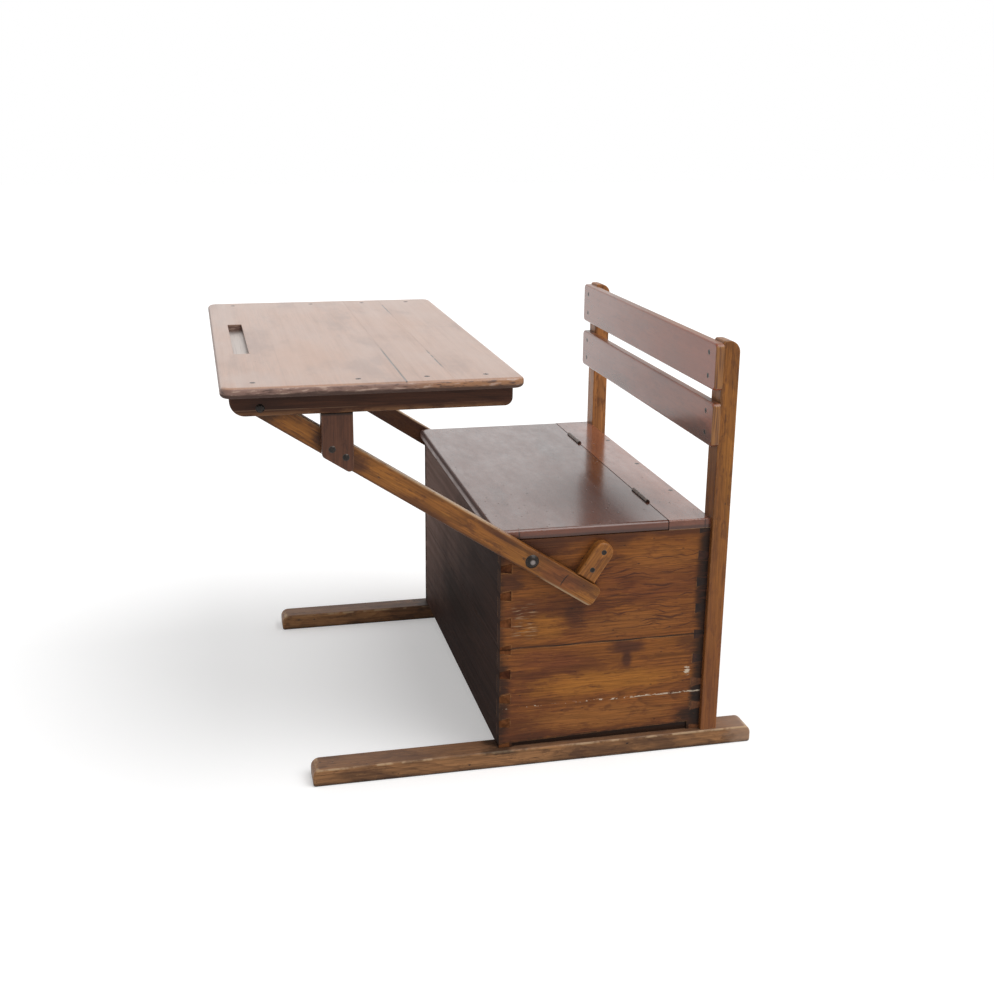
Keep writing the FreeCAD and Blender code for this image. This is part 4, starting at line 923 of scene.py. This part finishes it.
# Stains and light patches: tint, share, place along and across the grain, half sizes.
SPOTS = {
    "box_side_left_upper": (
        ("honey", 0.4, 0.252, 0.33, 0.062, 0.04),
        ("russet", 0.5, 0.25, 0.3, 0.09, 0.04),
        ("russet", 0.5, 0.15, 0.31, 0.08, 0.04),
        ("honey", 0.45, 0.2, 0.232, 0.11, 0.024),
        ("amber", 0.65, 0.058, 0.236, 0.05, 0.028),
        ("umber", 0.8, 0.045, 0.372, 0.08, 0.022),
        ("umber", 0.75, 0.112, 0.256, 0.022, 0.028),
        ("umber", 0.75, 0.004, 0.318, 0.028, 0.024),
        ("umber", 0.55, 0.185, 0.372, 0.022, 0.012),
        ("soot_and_shade", 0.8, 0.328, 0.3, 0.014, 0.085),
    ),
    "box_side_left_lower": (
        ("amber", 0.85, 0.165, 0.132, 0.15, 0.024),
        ("honey", 0.75, 0.16, 0.07, 0.15, 0.026),
        ("russet", 0.6, 0.07, 0.178, 0.07, 0.02),
        ("umber", 0.92, 0.202, 0.19, 0.036, 0.015),
        ("umber", 0.9, 0.203, 0.17, 0.01, 0.02),
        ("umber", 0.6, 0.31, 0.19, 0.026, 0.02),
        ("soot_and_shade", 0.75, -0.006, 0.12, 0.016, 0.09),
        ("soot_and_shade", 0.92, 0.327, 0.085, 0.014, 0.062),
        ("soot_and_shade", 0.85, 0.312, 0.056, 0.026, 0.022),
        ("umber", 0.6, 0.04, 0.045, 0.05, 0.012),
    ),
    "box_side_right_upper": (
        ("amber", 0.6, 0.14, 0.26, 0.09, 0.04),
        ("umber", 0.7, 0.24, 0.352, 0.08, 0.025),
        ("soot_and_shade", 0.7, 0.328, 0.28, 0.014, 0.08),
    ),
    "box_side_right_lower": (
        ("amber", 0.7, 0.2, 0.12, 0.12, 0.03),
        ("umber", 0.8, 0.08, 0.172, 0.04, 0.018),
        ("soot_and_shade", 0.8, 0.327, 0.08, 0.014, 0.06),
    ),
    "back_slat_lower": (
        ("russet", 0.8, 0.285, SLAT_FOOT + 0.012, 0.11, 0.03),
        ("umber", 0.6, 0.3, SLAT_FOOT + 0.008, 0.07, 0.02),
        ("russet", 0.6, 0.16, SLAT_FOOT + 0.004, 0.09, 0.016),
        ("russet", 0.5, -0.12, SLAT_FOOT + 0.012, 0.12, 0.016),
    ),
    "back_slat_upper": (
        ("russet", 0.5, 0.21, SLAT_FOOT + 0.105, 0.11, 0.03),
        ("russet", 0.45, -0.2, SLAT_FOOT + 0.1, 0.08, 0.018),
    ),
    "arm_left": ARM_SPOTS,
    "arm_right": ARM_SPOTS,
}

# How the names of wooden nodes start, with their look and marks; the first that fits counts.
KINDS = (
    ("desktop_board", "desktop", desktop_marks),
    ("desktop_rail", "rail", rail_marks),
    ("arm_bracket", "bracket", bracket_marks),
    ("arm_", "arm", arm_marks),
    ("box_front", "end_board", end_board_marks("front_pin", joint_share=0.5)),
    ("box_back", "back_board", end_board_marks("back_pin", joint_share=0.9)),
    ("box_side_left", "box_side", near_side_marks),
    ("box_side_right", "box_side", far_side_marks),
    ("box_floor", "inside", None),
    ("lid_batten", "batten", None),
    ("seat_rear_strip", "strip", seat_marks),
    ("seat_lid", "seat", seat_marks),
    ("back_slat", "slat", slat_marks),
    ("back_post_right", "far_post_lit", post_marks),
    ("back_post", "post", post_marks),
    ("stop_block", "stop_block", None),
    ("runner", "runner", runner_marks),
)
IRON_WORDS = ("screw", "bolt", "nut", "washer", "spacer", "hinge")
BLACK_IRON = dict(
    dark=(0.013, 0.011, 0.01), light=(0.028, 0.02, 0.016), rust=(0.055, 0.026, 0.014), gloss=0.4,
)
BROWN_IRON = dict(
    dark=(0.06, 0.038, 0.028), light=(0.13, 0.082, 0.058), rust=(0.09, 0.042, 0.022), gloss=0.7,
)
# Pivot bolts get a painted highlight on their crowns.
HIGHLIT_IRON = dict(BLACK_IRON, worn_and_lit=0.8)


def material_of(node, number):
    if any(word in node for word in IRON_WORDS):
        tones = BROWN_IRON if node.startswith("hinge") else BLACK_IRON
        tones = HIGHLIT_IRON if node.startswith("pivot_bolt") else tones
        return iron(f"{node}_iron", number, **tones)
    look, marks = next((look, marks) for start, look, marks in KINDS if node.startswith(start))
    return Wood(node, number + 1, dict(LOOKS[look], spots=SPOTS.get(node, ()))).finish(marks)


for number, (node, piece) in enumerate(sorted(NODES.items())):
    piece.material_slots[0].material = material_of(node, number)


# Screw slots: a dark bar let into each visible slotted head; its dark colour stands for dirt and painted
# shade in the slot.
MERGE_WITHIN, SORT_DIGITS = 1e-6, 5
SLOT_WIDTH, SLOT_DEPTH, SLOT_PROUD, SLOT_SHARE, SLOT_STEPS = 0.0011, 0.0008, 0.00012, 0.43, 6
SLOT_NOISE = 1400


def islands(node):
    """Box of each separate solid in a node, as (low, high) corners."""
    mesh = bmesh.new()
    mesh.from_mesh(NODES[node].data)
    bmesh.ops.remove_doubles(mesh, verts=mesh.verts, dist=MERGE_WITHIN)
    left = set(mesh.verts)
    found = []
    while left:
        stack = [left.pop()]
        group = []
        while stack:
            vert = stack.pop()
            group.append(vert.co.copy())
            for edge in vert.link_edges:
                other = edge.other_vert(vert)
                if other in left:
                    left.remove(other)
                    stack.append(other)
        low = Vector([min(co[axis] for co in group) for axis in range(3)])
        high = Vector([max(co[axis] for co in group) for axis in range(3)])
        found.append((low, high))
    mesh.free()
    return sorted(found, key=lambda pair: tuple(round(value, SORT_DIGITS) for value in pair[0]))


def slot_bar(mesh, centre, out, reach, turn):
    """A thin bar with rounded ends, lying in the head's face."""
    side = out.orthogonal().normalized()
    side.rotate(Matrix.Rotation(turn, 3, out))
    aside = out.cross(side)
    half = SLOT_WIDTH / 2
    ring = []
    for end in (1, -1):
        for step in range(SLOT_STEPS + 1):
            angle = -math.pi / 2 + math.pi * step / SLOT_STEPS
            corner = side * (end * (reach - half + half * math.cos(angle)))
            ring.append(corner + aside * (end * half * math.sin(angle)))
    top = [mesh.verts.new(centre + out * SLOT_PROUD + point) for point in ring]
    foot = [mesh.verts.new(centre - out * SLOT_DEPTH + point) for point in ring]
    mesh.faces.new(top)
    mesh.faces.new(reversed(foot))
    for index in range(len(ring)):
        after = (index + 1) % len(ring)
        mesh.faces.new((top[index], foot[index], foot[after], top[after]))


def slots(name, node, out, body, seed):
    rng = random.Random(seed)
    mesh = bmesh.new()
    axis = max(range(3), key=lambda index: abs(out[index]))
    for low, high in islands(node):
        centre = (low + high) / 2
        centre[axis] = high[axis] if out[axis] > 0 else low[axis]
        spread = [high[index] - low[index] for index in range(3) if index != axis]
        slot_bar(mesh, centre, out, min(spread) * SLOT_SHARE, rng.uniform(0, math.pi))
    data = bpy.data.meshes.new(name)
    mesh.to_mesh(data)
    mesh.free()
    piece = bpy.data.objects.new(name, data)
    bpy.context.collection.objects.link(piece)
    data.materials.append(slot_paint.material)
    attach(piece, body)


# Dirt and painted shade in the screw slots.
slot_paint = Paint("slot_dirt_and_shade")
slot_mottle = slot_paint.texture(slot_paint.place, detail=3, roughness=0.6, scale=SLOT_NOISE)
slot_paint.set(
    Base_Color=slot_paint.mix(slot_mottle, "slot_dark", "slot_dust_and_shade"),
    Roughness=slot_mottle.smooth(0.2, 0.8, to_low=0.6, to_high=0.9),
)
slots("slat_screw_slots", "slat_screws", -Y_AXIS, "bench", seed=11)
slots("desktop_screw_slots", "desktop_screws", Z_AXIS, "desktop", seed=12)


# Stage: a pale floor, a white surround and soft light.
WORLD_LIGHT = 0.55
FLOOR_TONE = 0.8
FLOOR_LIFT = 0.3
FLOOR_SIZE = 30
KEY_FROM = Vector((0.35, 0.5, 1))
KEY_STRENGTH = 2
KEY_SPREAD = math.radians(50)


def white_rays(nodes):
    """1 for rays that see the surround itself: from the camera, by reflection or through glass."""
    path = nodes.add("ShaderNodeLightPath")
    direct, glossy = nodes.fill(path, "Is Camera Ray"), nodes.fill(path, "Is Glossy Ray")
    return direct | glossy | nodes.fill(path, "Is Transmission Ray")


world = bpy.data.worlds.new("studio")
world.use_nodes = True
bpy.context.scene.world = world
sky = Nodes(world.node_tree)
level = sky.fill(sky.add("ShaderNodeMapRange"), 0, Value=white_rays(sky), To_Min=WORLD_LIGHT, To_Max=1)
sky.fill(world.node_tree.nodes["Background"], 0, Color=(1, 1, 1, 1), Strength=level)

bpy.ops.mesh.primitive_plane_add(size=FLOOR_SIZE)
floor = bpy.context.object
floor.name = "floor"
paper = blank_material("floor_paper")
sheet = Nodes(paper.node_tree)
matt = sheet.fill(sheet.add("ShaderNodeBsdfDiffuse"), 0, Color=(FLOOR_TONE, FLOOR_TONE, FLOOR_TONE, 1))
glow = sheet.fill(sheet.add("ShaderNodeEmission"), 0, Strength=white_rays(sheet) * FLOOR_LIFT)
both = sheet.fill(sheet.add("ShaderNodeAddShader"), 0, matt, glow)
sheet.put(sheet.add("ShaderNodeOutputMaterial").inputs["Surface"], both)
floor.data.materials.append(paper)

key = bpy.data.objects.new("key_light", bpy.data.lights.new("key_light", "SUN"))
key.data.energy = KEY_STRENGTH
key.data.angle = KEY_SPREAD
key.rotation_mode = "QUATERNION"
key.rotation_quaternion = (-KEY_FROM).to_track_quat("-Z", "Y")
bpy.context.collection.objects.link(key)

camera = bpy.data.objects.new("camera", bpy.data.cameras.new("camera"))
camera.data.sensor_width = SENSOR
camera.data.lens = SENSOR * FOCAL_PIXELS / IMAGE_LONG_SIDE
right = FORWARD.cross(Z_AXIS).normalized()
up = right.cross(FORWARD)
right, up = right * math.cos(ROLL) + up * math.sin(ROLL), up * math.cos(ROLL) - right * math.sin(ROLL)
turned = Matrix((right, up, -FORWARD)).transposed().to_4x4()
camera.matrix_world = Matrix.Translation(EYE) @ turned
bpy.context.collection.objects.link(camera)
bpy.context.scene.camera = camera

bpy.context.scene.view_settings.view_transform = "Standard"
